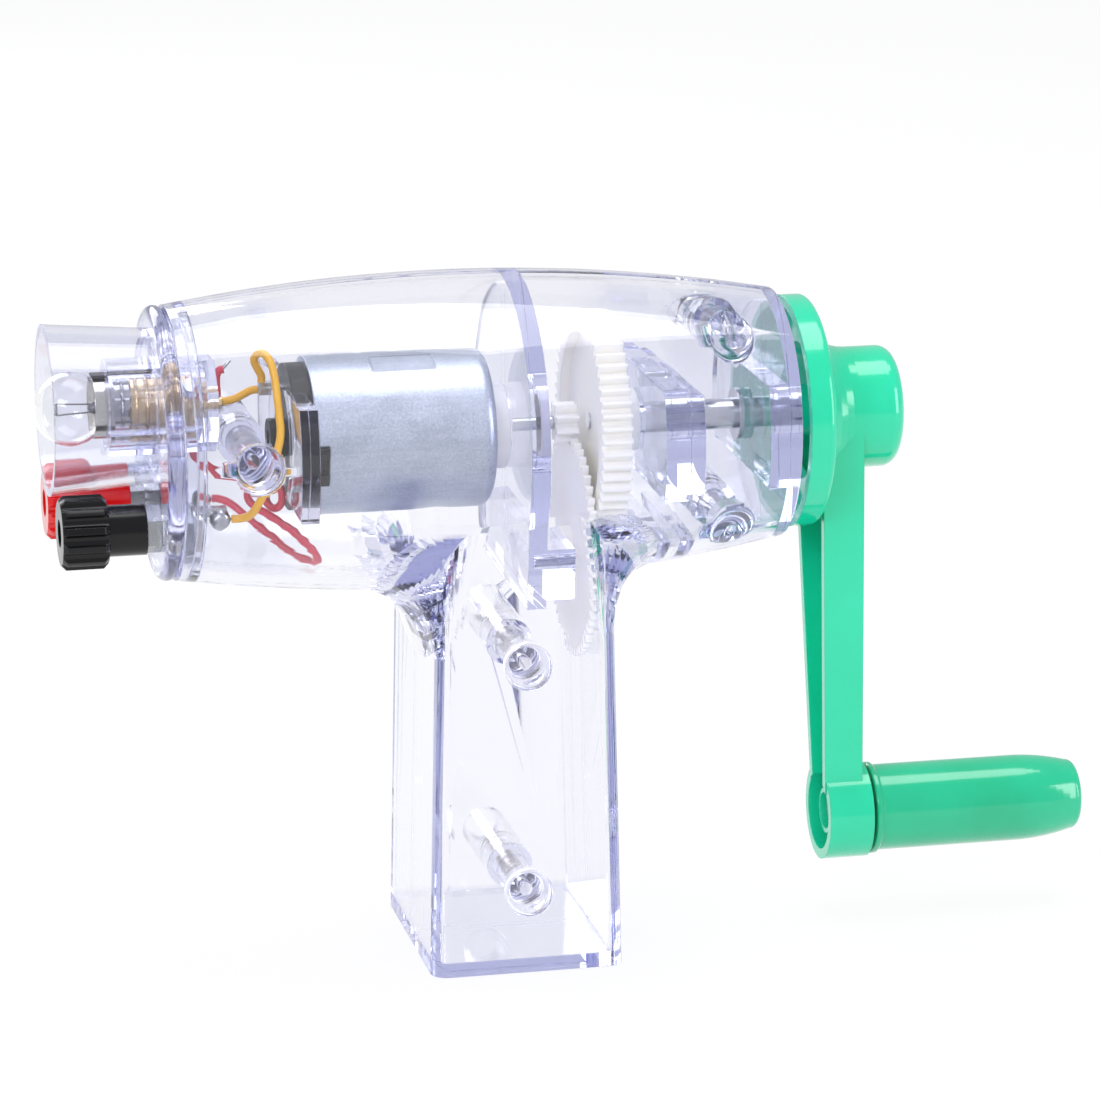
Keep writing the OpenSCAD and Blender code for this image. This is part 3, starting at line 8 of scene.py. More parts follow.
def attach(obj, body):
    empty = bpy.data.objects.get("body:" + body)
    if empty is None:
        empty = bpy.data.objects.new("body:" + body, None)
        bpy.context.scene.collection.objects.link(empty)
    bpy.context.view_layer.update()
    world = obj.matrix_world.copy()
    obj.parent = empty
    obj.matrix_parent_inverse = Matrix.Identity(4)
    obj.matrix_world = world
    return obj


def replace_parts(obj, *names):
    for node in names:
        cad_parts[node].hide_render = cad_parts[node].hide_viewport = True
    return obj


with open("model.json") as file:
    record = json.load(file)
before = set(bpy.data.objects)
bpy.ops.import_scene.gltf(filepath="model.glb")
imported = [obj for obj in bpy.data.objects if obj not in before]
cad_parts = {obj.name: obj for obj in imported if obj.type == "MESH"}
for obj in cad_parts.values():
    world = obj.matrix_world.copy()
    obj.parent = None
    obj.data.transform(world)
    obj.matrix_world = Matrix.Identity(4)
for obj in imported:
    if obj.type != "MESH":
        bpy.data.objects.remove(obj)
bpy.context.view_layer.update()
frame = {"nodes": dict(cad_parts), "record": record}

# Heights of the crank's axis, the lamp and the binding posts, and each post's distance from the
# middle, in millimetres, from the CAD part and rounded to a tenth
MM = 0.001
AXIS_H = 93.7
LAMP_H = 100.5
POST_H = 81.4
POST_Y = 11

# Finishes
# The sRGB curve's straight foot, its slope there, and the shift and power past it
SRGB_FOOT, SRGB_SLOPE, SRGB_SHIFT, SRGB_POWER = 0.04045, 12.92, 0.055, 2.4
# Sockets that are set by number, because their nodes name some of them alike
MIX_SHARE, MIX_FIRST, MIX_SECOND, MIX_COLOUR = 0, 6, 7, 2
SHADER_SHARE, SHADER_FIRST, SHADER_SECOND = 0, 1, 2
# Middle of a noise that runs from 0 to 1
MIDDLE = 0.5
EDGE_SAMPLES = 4
# The clear plastic is painted with a greyer inner tint, as painted shade, nearer to the crank's axis
# than PAINTED_SHADE_R, and lower than HANDLE_FLOOR_TOP, in metres. The tint changes over one part in
# SHADE_TINT_RISE of a metre
PAINTED_SHADE_R = 0.0246
HANDLE_FLOOR_TOP = 0.0026
SHADE_TINT_RISE = 2500
# Clear pieces are drawn in by HAIR_GAP, after their points within WELD_WITHIN are merged, in metres
HAIR_GAP = 0.00001
WELD_WITHIN = 0.000001


def linear(red, green, blue):
    """A colour as a picture shows it, 0 to 255, turned into light."""
    def one(c):
        c = c / 255
        return c / SRGB_SLOPE if c <= SRGB_FOOT else ((c + SRGB_SHIFT) / (1 + SRGB_SHIFT)) ** SRGB_POWER
    return one(red), one(green), one(blue), 1.0


class Value:
    """A number that changes over a surface. Sums on it add Math nodes."""

    def __init__(self, finish, socket):
        self.finish, self.socket = finish, socket

    def math(self, operation, *others):
        sockets = {i: v for i, v in enumerate((self, *others))}
        return self.finish.node("ShaderNodeMath", {"operation": operation}, sockets)["Value"]

    def __add__(self, other):
        return self.math("ADD", other)

    def __sub__(self, other):
        return self.math("SUBTRACT", other)

    def __mul__(self, other):
        return self.math("MULTIPLY", other)

    def __truediv__(self, other):
        return self.math("DIVIDE", other)

    def __pow__(self, other):
        return self.math("POWER", other)

    def __rsub__(self, other):
        return self.math("MULTIPLY", -1.0).math("ADD", other)

    def __rtruediv__(self, other):
        return self.math("POWER", -1.0).math("MULTIPLY", other)

    __radd__, __rmul__ = __add__, __mul__

    def most(self, other):
        return self.math("MAXIMUM", other)

    def clamped(self):
        return self.math("MULTIPLY", 1.0).math("MINIMUM", 1.0).math("MAXIMUM", 0.0)


class Made:
    """A node whose outputs are read by name."""

    def __init__(self, finish, node):
        self.finish, self.node = finish, node

    def __getitem__(self, name):
        return Value(self.finish, self.node.outputs[name])

    def colour(self):
        """The colour output of a Mix node, which has three outputs of one name."""
        return Value(self.finish, self.node.outputs[MIX_COLOUR])


class Finish:
    """A material or a world, and the one method that makes its nodes."""

    def __init__(self, name, holder=None):
        self.holder = holder or bpy.data.materials.new(name)
        self.holder.use_nodes = True
        self.tree = self.holder.node_tree
        self.tree.nodes.clear()

    def node(self, kind, settings=None, sockets=None):
        """Makes a node with its settings, and fills its sockets with values or links."""
        made = self.tree.nodes.new(kind)
        for name, value in (settings or {}).items():
            setattr(made, name, value)
        for name, value in (sockets or {}).items():
            if isinstance(value, Value):
                self.tree.links.new(value.socket, made.inputs[name])
            else:
                made.inputs[name].default_value = value
        return Made(self, made)

    def place(self):
        return self.node("ShaderNodeTexCoord")["Object"]

    def axes(self, place):
        return self.node("ShaderNodeSeparateXYZ", {}, {"Vector": place})

    def grain(self, scale, detail, rough=0.55, stretch=(1, 1, 1)):
        """Cloudy noise, 0 to 1; scale is in waves a metre."""
        place = self.node("ShaderNodeMapping", {}, {"Vector": self.place(), "Scale": stretch})["Vector"]
        return self.node("ShaderNodeTexNoise", {}, {"Vector": place, "Scale": scale,
            "Detail": detail, "Roughness": rough})["Fac"]

    def blend(self, share, first, second):
        return self.node("ShaderNodeMix", {"data_type": "RGBA"},
            {MIX_SHARE: share, MIX_FIRST: first, MIX_SECOND: second}).colour()

    def either(self, share, first, second):
        """Two shaders mixed; a share of 0 is all the first."""
        return self.node("ShaderNodeMixShader", {},
            {SHADER_SHARE: share, SHADER_FIRST: first, SHADER_SECOND: second})["Shader"]

    def relief(self, height, depth, normal=None):
        sockets = {"Height": height, "Distance": depth, "Strength": 1.0}
        if normal is not None:
            sockets["Normal"] = normal
        return self.node("ShaderNodeBump", {}, sockets)["Normal"]

    def rounded(self, radius):
        """Edges that catch light as if they had this radius."""
        return self.node("ShaderNodeBevel", {"samples": EDGE_SAMPLES}, {"Radius": radius})["Normal"]

    def surface(self, shader, volume=None):
        sockets = {"Surface": shader}
        if volume is not None:
            sockets["Volume"] = volume
        is_world = isinstance(self.holder, bpy.types.World)
        self.node("ShaderNodeOutputWorld" if is_world else "ShaderNodeOutputMaterial", {}, sockets)
        return self.holder


def moulded(name, colour, deep, rough, depth=0.00002, edge=0.0003, coat=0.0, soft=0.0, gloss=0.5):
    """Moulded plastic: faint clouding, a breath of orange peel and slightly rounded edges."""
    cloud_gain, cloud_drop, mark_share, peel_share = 1.6, 0.3, 0.9, 0.4
    f = Finish(name)
    clouds = f.grain(scale=60, detail=4)
    peel = f.grain(scale=900, detail=2)
    marks = f.grain(scale=260, detail=6, rough=0.7, stretch=(1, 1, 5))
    sockets = {
        "Base Color": f.blend(clouds * cloud_gain - cloud_drop, linear(*deep), linear(*colour)),
        "Roughness": rough + (marks - MIDDLE) * rough * mark_share,
        "Specular IOR Level": gloss,
        "Normal": f.relief(peel * peel_share + clouds, depth, f.rounded(edge)),
    }
    if coat:
        sockets.update({"Coat Weight": coat, "Coat Roughness": 0.06})
    if soft:
        sockets.update({"Subsurface Weight": soft, "Subsurface Radius": (1.0, 0.8, 0.5),
            "Subsurface Scale": 0.002})
    return f.surface(f.node("ShaderNodeBsdfPrincipled", {}, sockets)["BSDF"])


def metal(name, colour, deep, rough, depth=0.00001, stretch=(1, 1, 1), scale=700, edge=0.00012, whole=1.0):
    """Metal with a drawn or cast grain and duller patches; whole is how metallic it is."""
    patch_gain, patch_drop, patch_share, grain_share = 1.5, 0.25, 0.8, 0.5
    f = Finish(name)
    grain = f.grain(scale, detail=4, rough=0.6, stretch=stretch)
    patches = f.grain(scale=120, detail=5, rough=0.65)
    return f.surface(f.node("ShaderNodeBsdfPrincipled", {}, {
        "Base Color": f.blend(patches * patch_gain - patch_drop, linear(*deep), linear(*colour)),
        "Metallic": whole,
        "Roughness": (rough + (patches - MIDDLE) * rough * patch_share
            + (grain - MIDDLE) * rough * grain_share).clamped(),
        "Normal": f.relief(grain, depth, f.rounded(edge)),
    })["BSDF"])


def galvanised(name, colour, deep, shadow):
    """Zinc-plated sheet: fine bright spangle, rolling marks along its length and grey rubbed patches.
    Its top, from a height in metres upwards, is painted towards the shadow colour: painted shade for the dark
    it reflects there."""
    rubbed_weight, rolled_weight, speck_weight, spangle_weight = 0.8, 0.45, 0.8, 0.3
    # Painted shade along the can's top: the height in metres where it starts, its rise a metre, its greatest
    # share
    painted_shade_from, painted_shade_rise, painted_shade_most = 0.1055, 300, 0.75
    base_rough, shade_band_rough, rubbed_rough, speck_rough = 0.34, 0.2, 0.22, 0.2
    speck_height, rolled_height, height_depth, edge = 0.7, 0.5, 0.00003, 0.0005
    f = Finish(name)
    spangle = f.node("ShaderNodeTexVoronoi", {}, {"Vector": f.place(), "Scale": 3200.0})["Distance"]
    rolled = f.grain(scale=1500, detail=3, rough=0.6, stretch=(0.06, 1, 1))
    rubbed = f.grain(scale=140, detail=5, rough=0.7)
    specks = f.grain(scale=2600, detail=2, rough=0.5)
    tone = (rubbed * rubbed_weight + rolled * rolled_weight + (specks - MIDDLE) * speck_weight
        + (spangle - MIDDLE) * spangle_weight).clamped()
    # Painted shade: above its start height the can's colour is blended towards shadow
    painted_top_shade = ((f.axes(f.place())["Z"] - painted_shade_from) * painted_shade_rise).clamped() * painted_shade_most
    return f.surface(f.node("ShaderNodeBsdfPrincipled", {}, {
        "Base Color": f.blend(painted_top_shade, f.blend(tone, linear(*deep), linear(*colour)), linear(*shadow)),
        "Metallic": 0.85,
        "Roughness": (base_rough + painted_top_shade * shade_band_rough + (rubbed - MIDDLE) * rubbed_rough
            + (specks - MIDDLE) * speck_rough).clamped(),
        "Normal": f.relief(specks * speck_height + rolled * rolled_height, height_depth, f.rounded(edge)),
    })["BSDF"])


def clear(name, tint, bend, rough, thick_tint, density, wave, shade, edge=0.0003, inner=None):
    """Clear plastic or glass: it takes its tint from its depth, and lets lamplight through.
    The plates and blocks inside the barrel, and the handle's floor, can be painted in the inner tint, as
    painted shade."""
    haze_gain = 2
    f = Finish(name)
    wobble = f.grain(scale=45, detail=3)
    haze = f.grain(scale=400, detail=4, rough=0.6)
    if inner:
        place = f.axes(f.place())
        out = (place["Y"] ** 2 + (place["Z"] - AXIS_H * MM) ** 2) ** 0.5
        # Painted shade: inside the barrel and on the handle's floor the tint turns greyer
        shaded_in_barrel = ((PAINTED_SHADE_R - out) * SHADE_TINT_RISE).clamped()
        shaded_on_floor = ((HANDLE_FLOOR_TOP - place["Z"]) * SHADE_TINT_RISE).clamped()
        tint = f.blend(shaded_in_barrel.most(shaded_on_floor), tint, inner)
    glass = f.node("ShaderNodeBsdfPrincipled", {}, {
        "Base Color": tint, "Transmission Weight": 1.0, "IOR": bend,
        "Roughness": (haze * rough * haze_gain).clamped(),
        "Normal": f.relief(wobble, wave, f.rounded(edge)) if edge else f.relief(wobble, wave),
    })["BSDF"]
    ray = f.node("ShaderNodeLightPath")
    pass_by = f.node("ShaderNodeBsdfTransparent", {}, {"Color": shade})["BSDF"]
    both = f.either(ray["Is Shadow Ray"].most(ray["Is Diffuse Ray"]), glass, pass_by)
    depth_tint = f.node("ShaderNodeVolumeAbsorption", {}, {"Color": thick_tint, "Density": density})
    return f.surface(both, depth_tint["Volume"])


# Moulded and metal finishes start with their colour and deeper colour as a picture shows them,
# and clear ones with the share of each colour's light that they let through
FINISHES = {
    # The clear plastic's inner tint is painted shade on its inner plates, blocks and floor
    "clear_plastic": clear("clear_styrene", (0.985, 0.985, 1, 1), bend=1.5, rough=0.012,
        thick_tint=linear(176, 181, 228), density=20, wave=0.000015, shade=(0.93, 0.93, 0.97, 1),
        inner=(0.85, 0.86, 0.93, 1)),
    "bulb_glass": clear("lamp_glass", (1, 1, 1, 1), bend=1.42, rough=0.004,
        thick_tint=linear(225, 232, 238), density=20, wave=0.00001, shade=(0.97, 0.97, 0.97, 1), edge=0),
    "green_plastic": moulded("green_moulding", (26, 208, 162), (18, 195, 146), rough=0.15, coat=0.5),
    "nylon": moulded("cream_nylon", (251, 250, 243), (245, 242, 232), rough=0.45, depth=0.00003,
        soft=0.35),
    "black_plastic": moulded("black_moulding", (9, 9, 11), (5, 5, 6), rough=0.17, gloss=0.35),
    "red_plastic": moulded("red_moulding", (222, 18, 20), (196, 10, 14), rough=0.18, coat=0.3),
    "yellow_lead": moulded("yellow_insulation", (250, 196, 28), (226, 160, 14), rough=0.36, edge=0.0001),
    "red_lead": moulded("red_insulation", (226, 58, 84), (190, 30, 56), rough=0.36, edge=0.0001),
    # The last colour is the painted shade along the can's top
    "motor_steel": galvanised("galvanised_sheet", (198, 206, 220), (140, 148, 164), shadow=(92, 98, 112)),
    "bright_steel": metal("turned_steel", (214, 216, 220), (170, 172, 178), rough=0.16, depth=0.000006,
        stretch=(6, 1, 1)),
    "core_steel": metal("lamination_steel", (128, 128, 132), (84, 84, 88), rough=0.4, depth=0.00002,
        stretch=(12, 1, 1)),
    "screw_zinc": metal("dull_zinc", (190, 185, 180), (138, 132, 124), rough=0.3),
    "tinned_metal": metal("solder_tin", (214, 216, 220), (150, 152, 158), rough=0.2, depth=0.00006,
        scale=420),
    "nickel": metal("nickel_plate", (216, 214, 208), (168, 164, 156), rough=0.17, depth=0.000008),
    "brass": metal("lamp_brass", (240, 216, 168), (214, 182, 124), rough=0.24, stretch=(5, 1, 1)),
    "bronze": metal("sintered_bronze", (186, 146, 92), (140, 104, 62), rough=0.46, depth=0.00003),
    "copper": metal("enamelled_copper", (206, 122, 74), (158, 78, 40), rough=0.26, depth=0.00003,
        stretch=(1, 6, 6)),
    "ferrite": metal("grey_ferrite", (66, 64, 66), (44, 43, 45), rough=0.5, depth=0.00002, scale=900,
        edge=0.0001, whole=0.2),
    "carbon": metal("carbon_block", (58, 58, 60), (38, 38, 40), rough=0.55, depth=0.00002, scale=900,
        edge=0.0001, whole=0.1),
}
# Nodes that look unlike the rest of their slot
OWN = {
    # The grip: the green moulding painted darker, as painted shade
    "grip": moulded("shaded_green_moulding", (20, 188, 142), (12, 168, 120), rough=0.15, coat=0.5),
    "motor_end_cap": moulded("rough_black", (22, 22, 24), (10, 10, 11), rough=0.45, depth=0.00006,
        gloss=0.35),
}
# The post nuts' nickel: painted darker, as painted shade for the darker room they reflect, and rougher
dull_shaded_nickel = metal("dull_shaded_nickel", (172, 174, 178), (112, 114, 118), rough=0.26)
OWN["black_post_nuts"] = dull_shaded_nickel
OWN["red_post_nuts"] = dull_shaded_nickel
wanted = {s["node"]: s["material_slot"] for s in frame["record"]["subparts"]}
for node, obj in frame["nodes"].items():
    obj.data.materials.clear()
    obj.data.materials.append(OWN.get(node, FINISHES[wanted[node]]))
    if wanted[node] == "clear_plastic":
        # Clear pieces that touch would share a face, and light couldn't tell which it is in
        weld = obj.modifiers.new("weld", "WELD")
        weld.merge_threshold = WELD_WITHIN
        hair = obj.modifiers.new("hair_gap", "DISPLACE")
        hair.direction = "NORMAL"
        hair.mid_level = 0.0
        hair.strength = -HAIR_GAP

# Ways of modelling
# How near points are merged, and how near to a place a face counts as lying at it, in metres
MERGE_WITHIN = 0.000002
AT_PLACE_WITHIN = 0.00002
# Angles in degrees: edges flatter than the first are shaded smooth, sharper than the second bevelled
SMOOTH_ANGLE = 35
SHARP_ANGLE = 30
EDGE_SEGMENTS = 2
WIRE_STEPS = 6
DROP_SEGMENTS, DROP_RINGS = 40, 24
RING_POINTS = 48
X_AXIS = 0


def nothing_selected():
    if bpy.context.object and bpy.context.object.mode != "OBJECT":
        bpy.ops.object.mode_set(mode="OBJECT")
    bpy.ops.object.select_all(action="DESELECT")


def take(obj):
    nothing_selected()
    obj.select_set(True)
    bpy.context.view_layer.objects.active = obj
    return obj


def settle(obj, name, slot, body):
    """Names a piece, rests its place in its mesh, closes it, and gives it its finish and its body."""
    take(obj)
    bpy.ops.object.transform_apply(location=True, rotation=True, scale=True)
    bpy.ops.object.mode_set(mode="EDIT")
    bpy.ops.mesh.select_all(action="SELECT")
    bpy.ops.mesh.remove_doubles(threshold=MERGE_WITHIN)
    bpy.ops.mesh.normals_make_consistent(inside=False)
    bpy.ops.object.mode_set(mode="OBJECT")
    bpy.ops.object.shade_smooth_by_angle(angle=math.radians(SMOOTH_ANGLE))
    obj.name = obj.data.name = name
    obj.data.materials.clear()
    obj.data.materials.append(FINISHES[slot])
    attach(obj, body)
    return obj


def tube_along(route, radius, roundness=5):
    """A round wire through the points of a route; route and radius in millimetres."""
    nothing_selected()
    line = bpy.data.curves.new("wire", "CURVE")
    line.dimensions = "3D"
    line.resolution_u = WIRE_STEPS
    line.bevel_depth = radius * MM
    line.bevel_resolution = roundness
    line.use_fill_caps = True
    run = line.splines.new("BEZIER")
    run.bezier_points.add(len(route) - 1)
    for point, place in zip(run.bezier_points, route):
        point.co = Vector(place) * MM
        point.handle_left_type = point.handle_right_type = "AUTO"
    obj = bpy.data.objects.new("wire", line)
    bpy.context.scene.collection.objects.link(obj)
    take(obj)
    bpy.ops.object.convert(target="MESH")
    return bpy.context.object


def joined(pieces):
    nothing_selected()
    for p in pieces:
        p.select_set(True)
    bpy.context.view_layer.objects.active = pieces[0]
    bpy.ops.object.join()
    return bpy.context.object


def worked(obj, kind, **settings):
    """Adds a modifier to a piece and applies it."""
    take(obj)
    step = obj.modifiers.new(kind.lower(), kind)
    for name, value in settings.items():
        setattr(step, name, value)
    bpy.ops.object.modifier_apply(modifier=step.name)
    return obj


def softened(obj, width):
    """Bevels a piece's sharp edges; width in millimetres."""
    return worked(obj, "BEVEL", width=width * MM, segments=EDGE_SEGMENTS, limit_method="ANGLE",
        angle_limit=math.radians(SHARP_ANGLE), harden_normals=False)


def bead(place, size, uneven, lump=1.4):
    """A drop of solder or glass: a ball drawn out to its size, then made slightly uneven.
    Place, uneven and lump, the width of its unevenness, are in millimetres."""
    nothing_selected()
    bpy.ops.mesh.primitive_uv_sphere_add(segments=DROP_SEGMENTS, ring_count=DROP_RINGS, radius=MM)
    bpy.ops.object.mode_set(mode="EDIT")
    bpy.ops.transform.resize(value=size)
    bpy.ops.transform.translate(value=Vector(place) * MM)
    bpy.ops.object.mode_set(mode="OBJECT")
    lumps = bpy.data.textures.new("lumps", "CLOUDS")
    lumps.noise_scale = lump * MM
    return worked(bpy.context.object, "DISPLACE", texture=lumps, texture_coords="LOCAL",
        mid_level=MIDDLE, strength=uneven * MM)


def ring_plate(x, y, z, outer, inner, thick):
    """A flat washer square to the crank axis, its low side at x; radii and thickness in millimetres."""
    nothing_selected()
    bpy.ops.mesh.primitive_circle_add(vertices=RING_POINTS, radius=inner * MM,
        location=Vector((x, y, z)) * MM, rotation=(0, math.pi / 2, 0))
    bpy.ops.object.mode_set(mode="EDIT")
    bpy.ops.mesh.extrude_edges_move()
    bpy.ops.transform.resize(value=[outer / inner] * 3)
    bpy.ops.mesh.select_all(action="SELECT")
    bpy.ops.mesh.normals_make_consistent(inside=False)
    bpy.ops.mesh.extrude_region_move(TRANSFORM_OT_translate={"value": (thick * MM, 0, 0)})
    bpy.ops.mesh.select_all(action="SELECT")
    bpy.ops.mesh.normals_make_consistent(inside=False)
    bpy.ops.object.mode_set(mode="OBJECT")
    return bpy.context.object


def bar(low, high):
    """A block between two corners, to be shaped further; millimetres."""
    nothing_selected()
    middle = [(a + b) / 2 * MM for a, b in zip(low, high)]
    bpy.ops.mesh.primitive_cube_add(size=1, location=middle)
    bpy.ops.transform.resize(value=[abs(b - a) * MM for a, b in zip(low, high)])
    return bpy.context.object


def narrowed(obj, axis, at, share):
    """Draws in the faces at one end of a piece, along axis at place at (millimetres), to a share."""
    take(obj)
    for face in obj.data.polygons:
        face.select = abs((obj.matrix_world @ face.center)[axis] - at * MM) < AT_PLACE_WITHIN
    for edge in obj.data.edges:
        edge.select = False
    bpy.ops.object.mode_set(mode="EDIT")
    bpy.ops.mesh.select_mode(type="FACE")
    bpy.ops.transform.resize(value=share)
    bpy.ops.object.mode_set(mode="OBJECT")
    return obj


# Leads: routes and radii in millimetres, with heights over the foot
INSULATION_R = 0.7
BARE_R = 0.28
ROUTES = {
    "lamp_lead_yellow": [(-49.3, 0, 100.5), (-48.2, 0, 100.6), (-46.8, -0.1, 101), (-45.4, -0.1, 101.7),
        (-44.2, 0, 102.2), (-43.1, 0, 102.3)],
    "post_lead_yellow": [(-42.4, 0, 103.65), (-42.4, -0.1, 104.6), (-42.8, -0.4, 105.5), (-43.3, -0.8, 106.4),
        (-43.8, -1.4, 107.7), (-43.5, -2.2, 108.8), (-42.6, -3.2, 109.2), (-41.7, -4.4, 108.3),
        (-41.1, -6, 106), (-40.9, -7.8, 102.6), (-40.9, -9.8, 99.7), (-41.1, -12, 96.9), (-42, -13.7, 94.3),
        (-43, -14.6, 91.5), (-44, -14.5, 88.7), (-45.2, -13.8, 85.9), (-46.7, -12.2, 83.3),
        (-48.3, -11.1, 82.5), (-49.7, -11, 82.5)],
    "lamp_lead_red": [(-54.6, 0, 92.55), (-54.6, 0, 91.6), (-54.2, 0.1, 90.8), (-53.1, 0.2, 90),
        (-51.4, 0.3, 89.1), (-49.4, 0.2, 88.1), (-47.4, -0.3, 87.4), (-45.4, -1.2, 86.9), (-43.4, -2.2, 86.6),
        (-41.4, -2.6, 86.2), (-39.9, -2.7, 85.2), (-39.5, -2.7, 83.7), (-39.8, -2.5, 82.2),
        (-40.7, -1.7, 81.4), (-41.7, -0.7, 81.9), (-42, 0, 83), (-42, 0, 83.7)],
    "post_lead_red": [(-49.75, 11, 80.3), (-49, 11, 80.3), (-47.3, 10.2, 79.8), (-44.6, 8.2, 77.8),
        (-39.8, 4.4, 73.7), (-34.9, 1, 70.4), (-33.3, -0.3, 70.4), (-33.3, -1.6, 71.6),
        (-37.2, -2.4, 76.6), (-42, -2.8, 80.6), (-44.2, -2.4, 82), (-45.3, -1.4, 83.4),
        (-44.8, -0.4, 84.6), (-43.7, 0, 84.9), (-43.1, 0, 84.9)],
    "lamp_tail_red": [(-50.15, 0, 101.6), (-50.2, 0, 102.8), (-50.25, 0, 104.2), (-50.1, 0, 105.3),
        (-49.6, 0, 106), (-49, 0, 106.15)],
}
for name, route in ROUTES.items():
    slot = "yellow_lead" if "yellow" in name else "red_lead"
    lead = settle(tube_along(route, INSULATION_R), name.replace("_lead", "_insulation"), slot, "housing")
    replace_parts(lead, name)

# Bare ends: the wire under the insulation, where it runs into solder
BARE = {
    "bare_end_lamp_yellow": [(-43.3, 0, 102.3), (-42.5, 0, 102.35), (-41.9, 0, 102.4)],
    "bare_end_post_yellow": [(-49.5, -11, 82.5), (-50.6, -11, 82.5)],
    "bare_end_tail": [(-49.3, 0, 106.05), (-48.6, 0, 106.8), (-47.8, 0, 107.7)],
    "bare_end_post_red": [(-49.6, 11, 80.3), (-50.6, 11, 80.3)],
}
for name, route in BARE.items():
    settle(tube_along(route, BARE_R), name, "tinned_metal", "housing")

# Lamp's filament: two bent supports on a glass bead, and a fine coil between them. A support's
# route holds X and the distance from the lamp's axis, above for one and below for the other
SUPPORT_ROUTE = [(-69.6, 0.45), (-72.2, 0.7), (-74.5, 0.8), (-77.2, 0.95), (-77.9, 1.0), (-78.2, 0.8)]
SUPPORT_R = 0.14
COIL_X, COIL_R, COIL_WIRE_R, COIL_REACH = -78.15, 0.22, 0.05, 0.8
COIL_TURNS, TURN_STEPS = 9, 12
GLASS_BEAD_X, GLASS_BEAD_SIZE, GLASS_BEAD_UNEVEN = -71.2, (1.5, 1.1, 1.1), 0.1
parts = []
for side in (-1, 1):
    support = [(x, 0, LAMP_H + side * out) for x, out in SUPPORT_ROUTE]
    parts.append(tube_along(support, SUPPORT_R, roundness=3))
coil = []
for i in range(COIL_TURNS * TURN_STEPS + 1):
    turned = 2 * math.pi * i / TURN_STEPS
    height = LAMP_H - COIL_REACH + 2 * COIL_REACH * i / (COIL_TURNS * TURN_STEPS)
    coil.append((COIL_X + COIL_R * math.cos(turned), COIL_R * math.sin(turned), height))
parts.append(tube_along(coil, COIL_WIRE_R, roundness=2))
parts.append(bead((GLASS_BEAD_X, 0, LAMP_H), GLASS_BEAD_SIZE, GLASS_BEAD_UNEVEN))
filament = settle(joined(parts), "lamp_filament", "core_steel", "bulb")
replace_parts(filament, "bulb_filament")

# Solder lugs behind the end plate: a ring on the stud, a tab with a narrowed end, and the solder,
# in millimetres
RING_X, RING_OUTER, RING_INNER, RING_THICK = -56.8, 4, 2.95, 0.6
TAB_FROM, TAB_TO = -56.7, -50.6
TAB_HALF_W, TAB_HALF_THICK, TAB_OFF, TAB_END_SHARE = 1.6, 0.25, 3.1, 0.6
LUG_EDGE = 0.12
# Each drop's X, its offsets from the post sideways and towards the tab, its size, how uneven it
# is, and the width of its lumps
DROPS = [
    (-51.7, 0, 1.3, (1.75, 2.0, 2.0), 0.6, 1.6),
    (-53.7, 0.4, 2.6, (1.6, 1.5, 1.0), 0.5, 1.2),
    (-50.9, -0.3, 1.1, (1.0, 1.1, 1.1), 0.4, 1.1),
]
for side, name in ((-1, "black_post_lug"), (1, "red_post_lug")):
    y, up = side * POST_Y, -side
    tab_z = POST_H + up * TAB_OFF
    tab = bar((TAB_FROM, y - TAB_HALF_W, tab_z - TAB_HALF_THICK),
        (TAB_TO, y + TAB_HALF_W, tab_z + TAB_HALF_THICK))
    narrowed(tab, X_AXIS, TAB_TO, (1, TAB_END_SHARE, 1))
    drops = [bead((x, y + aside, POST_H + up * off), size, uneven, lump)
        for x, aside, off, size, uneven, lump in DROPS]
    ring = ring_plate(RING_X, y, POST_H, RING_OUTER, RING_INNER, RING_THICK)
    lug = joined([softened(ring, LUG_EDGE), softened(tab, LUG_EDGE)] + drops)
    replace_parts(settle(lug, name.replace("_post_lug", "_solder_lug"), "tinned_metal", "housing"), name)

# Stage, light and camera, in metres
FLOOR_R, FLOOR_POINTS, FLOOR_Z = 3, 96, -0.0004
FLOOR_COLOUR, FLOOR_GLOW_SHARE = (0.86, 0.86, 0.87, 1), 0.88
WHITE = (1, 1, 1, 1)
ROOM_COLOUR, ROOM_STRENGTH = (0.93, 0.94, 1, 1), 0.6
LIT_PLACE = Vector((0.01, 0, 0.07))
# Each light's name, place, width and height, and power in watts
LIGHTS = [
    ("key_box", (-0.7, -0.9, 0.75), (0.7, 0.5), 7.5),
    ("fill_box", (0.9, -0.6, 0.35), (0.35, 0.7), 3.8),
    ("top_box", (0.1, 0.1, 1.1), (0.9, 0.6), 6.2),
    ("back_box", (-0.3, 0.9, 0.5), (0.6, 0.5), 3.8),
]
# The camera fitted to the photograph: its turn, rise and roll in degrees, the place in
# millimetres that it looks at, its distance from there in metres, and its lens in millimetres
CAMERA_TURN, CAMERA_RISE, CAMERA_ROLL = -12.254, 14.652, -0.169
CAMERA_AIM, CAMERA_DISTANCE = (8.65, 0, 70.58), 0.8822
LENS, SENSOR_W, CLIP_START, CLIP_END = 163.38, 36, 0.01, 20
LIGHT_BOUNCES = 32


def stage_floor():
    nothing_selected()
    bpy.ops.mesh.primitive_circle_add(vertices=FLOOR_POINTS, radius=FLOOR_R, fill_type="NGON",
        location=(0, 0, FLOOR_Z))
    floor = bpy.context.object
    floor.name = "floor"
    f = Finish("pale_floor")
    ray = f.node("ShaderNodeLightPath")
    seen = ray["Is Camera Ray"].most(ray["Is Glossy Ray"]).most(ray["Is Transmission Ray"])
    plain = f.node("ShaderNodeBsdfDiffuse", {}, {"Color": FLOOR_COLOUR})["BSDF"]
    glow = f.node("ShaderNodeEmission", {}, {"Color": WHITE, "Strength": 1.0})["Emission"]
    floor.data.materials.append(f.surface(f.either(seen * FLOOR_GLOW_SHARE, plain, glow)))


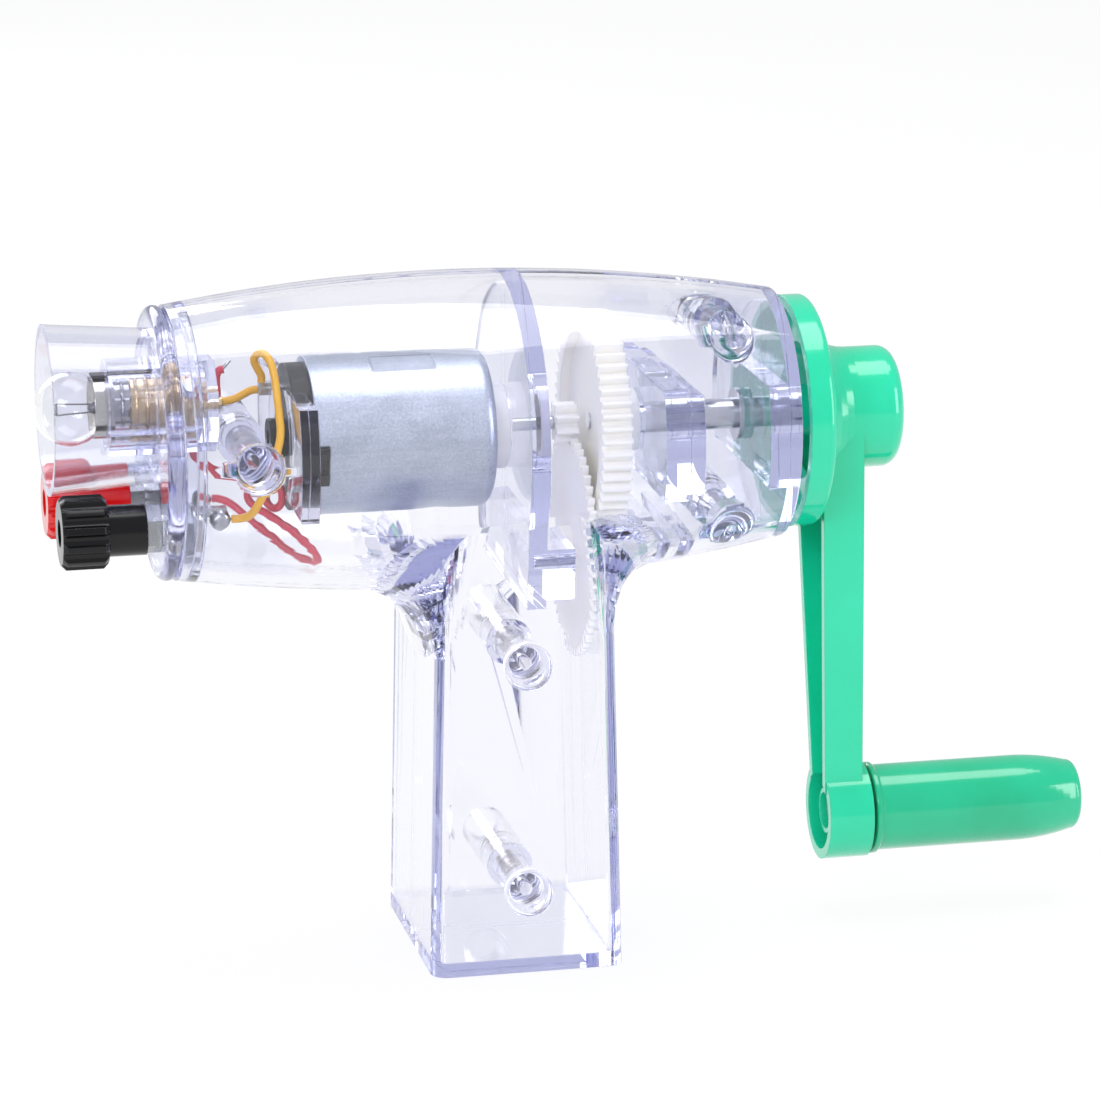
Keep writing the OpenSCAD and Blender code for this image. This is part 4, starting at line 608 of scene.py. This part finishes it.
def stage_light():
    world = bpy.data.worlds.new("studio")
    bpy.context.scene.world = world
    f = Finish("studio", world)
    ray = f.node("ShaderNodeLightPath")
    seen = ray["Is Camera Ray"].most(ray["Is Transmission Ray"])
    room = f.node("ShaderNodeBackground", {}, {"Color": ROOM_COLOUR, "Strength": ROOM_STRENGTH})
    white = f.node("ShaderNodeBackground", {}, {"Color": WHITE, "Strength": 1.0})
    f.surface(f.either(seen, room["Background"], white["Background"]))
    for name, place, size, power in LIGHTS:
        lamp = bpy.data.lights.new(name, "AREA")
        lamp.shape = "RECTANGLE"
        lamp.size, lamp.size_y = size
        lamp.energy = power
        holder = bpy.data.objects.new(name, lamp)
        holder.location = place
        holder.rotation_euler = (Vector(place) - LIT_PLACE).to_track_quat("Z", "Y").to_euler()
        bpy.context.scene.collection.objects.link(holder)


def photo_camera():
    turn, rise, roll = (math.radians(a) for a in (CAMERA_TURN, CAMERA_RISE, CAMERA_ROLL))
    back = Vector((math.sin(turn) * math.cos(rise), -math.cos(turn) * math.cos(rise), math.sin(rise)))
    right = (-back).cross(Vector((0, 0, 1))).normalized()
    up = right.cross(-back)
    across = right * math.cos(roll) + up * math.sin(roll)
    over = up * math.cos(roll) - right * math.sin(roll)
    view = Matrix((across, over, back)).transposed().to_4x4()
    view.translation = Vector(CAMERA_AIM) * MM + back * CAMERA_DISTANCE
    lens = bpy.data.cameras.new("photo_view")
    lens.lens = LENS
    lens.sensor_width = SENSOR_W
    lens.sensor_fit = "HORIZONTAL"
    lens.clip_start = CLIP_START
    lens.clip_end = CLIP_END
    camera = bpy.data.objects.new("photo_view", lens)
    camera.matrix_world = view
    bpy.context.scene.collection.objects.link(camera)
    bpy.context.scene.camera = camera


stage_floor()
stage_light()
photo_camera()
scene = bpy.context.scene
scene.view_settings.view_transform = "Standard"
scene.cycles.max_bounces = LIGHT_BOUNCES
scene.cycles.glossy_bounces = LIGHT_BOUNCES
scene.cycles.transmission_bounces = LIGHT_BOUNCES
scene.cycles.transparent_max_bounces = LIGHT_BOUNCES
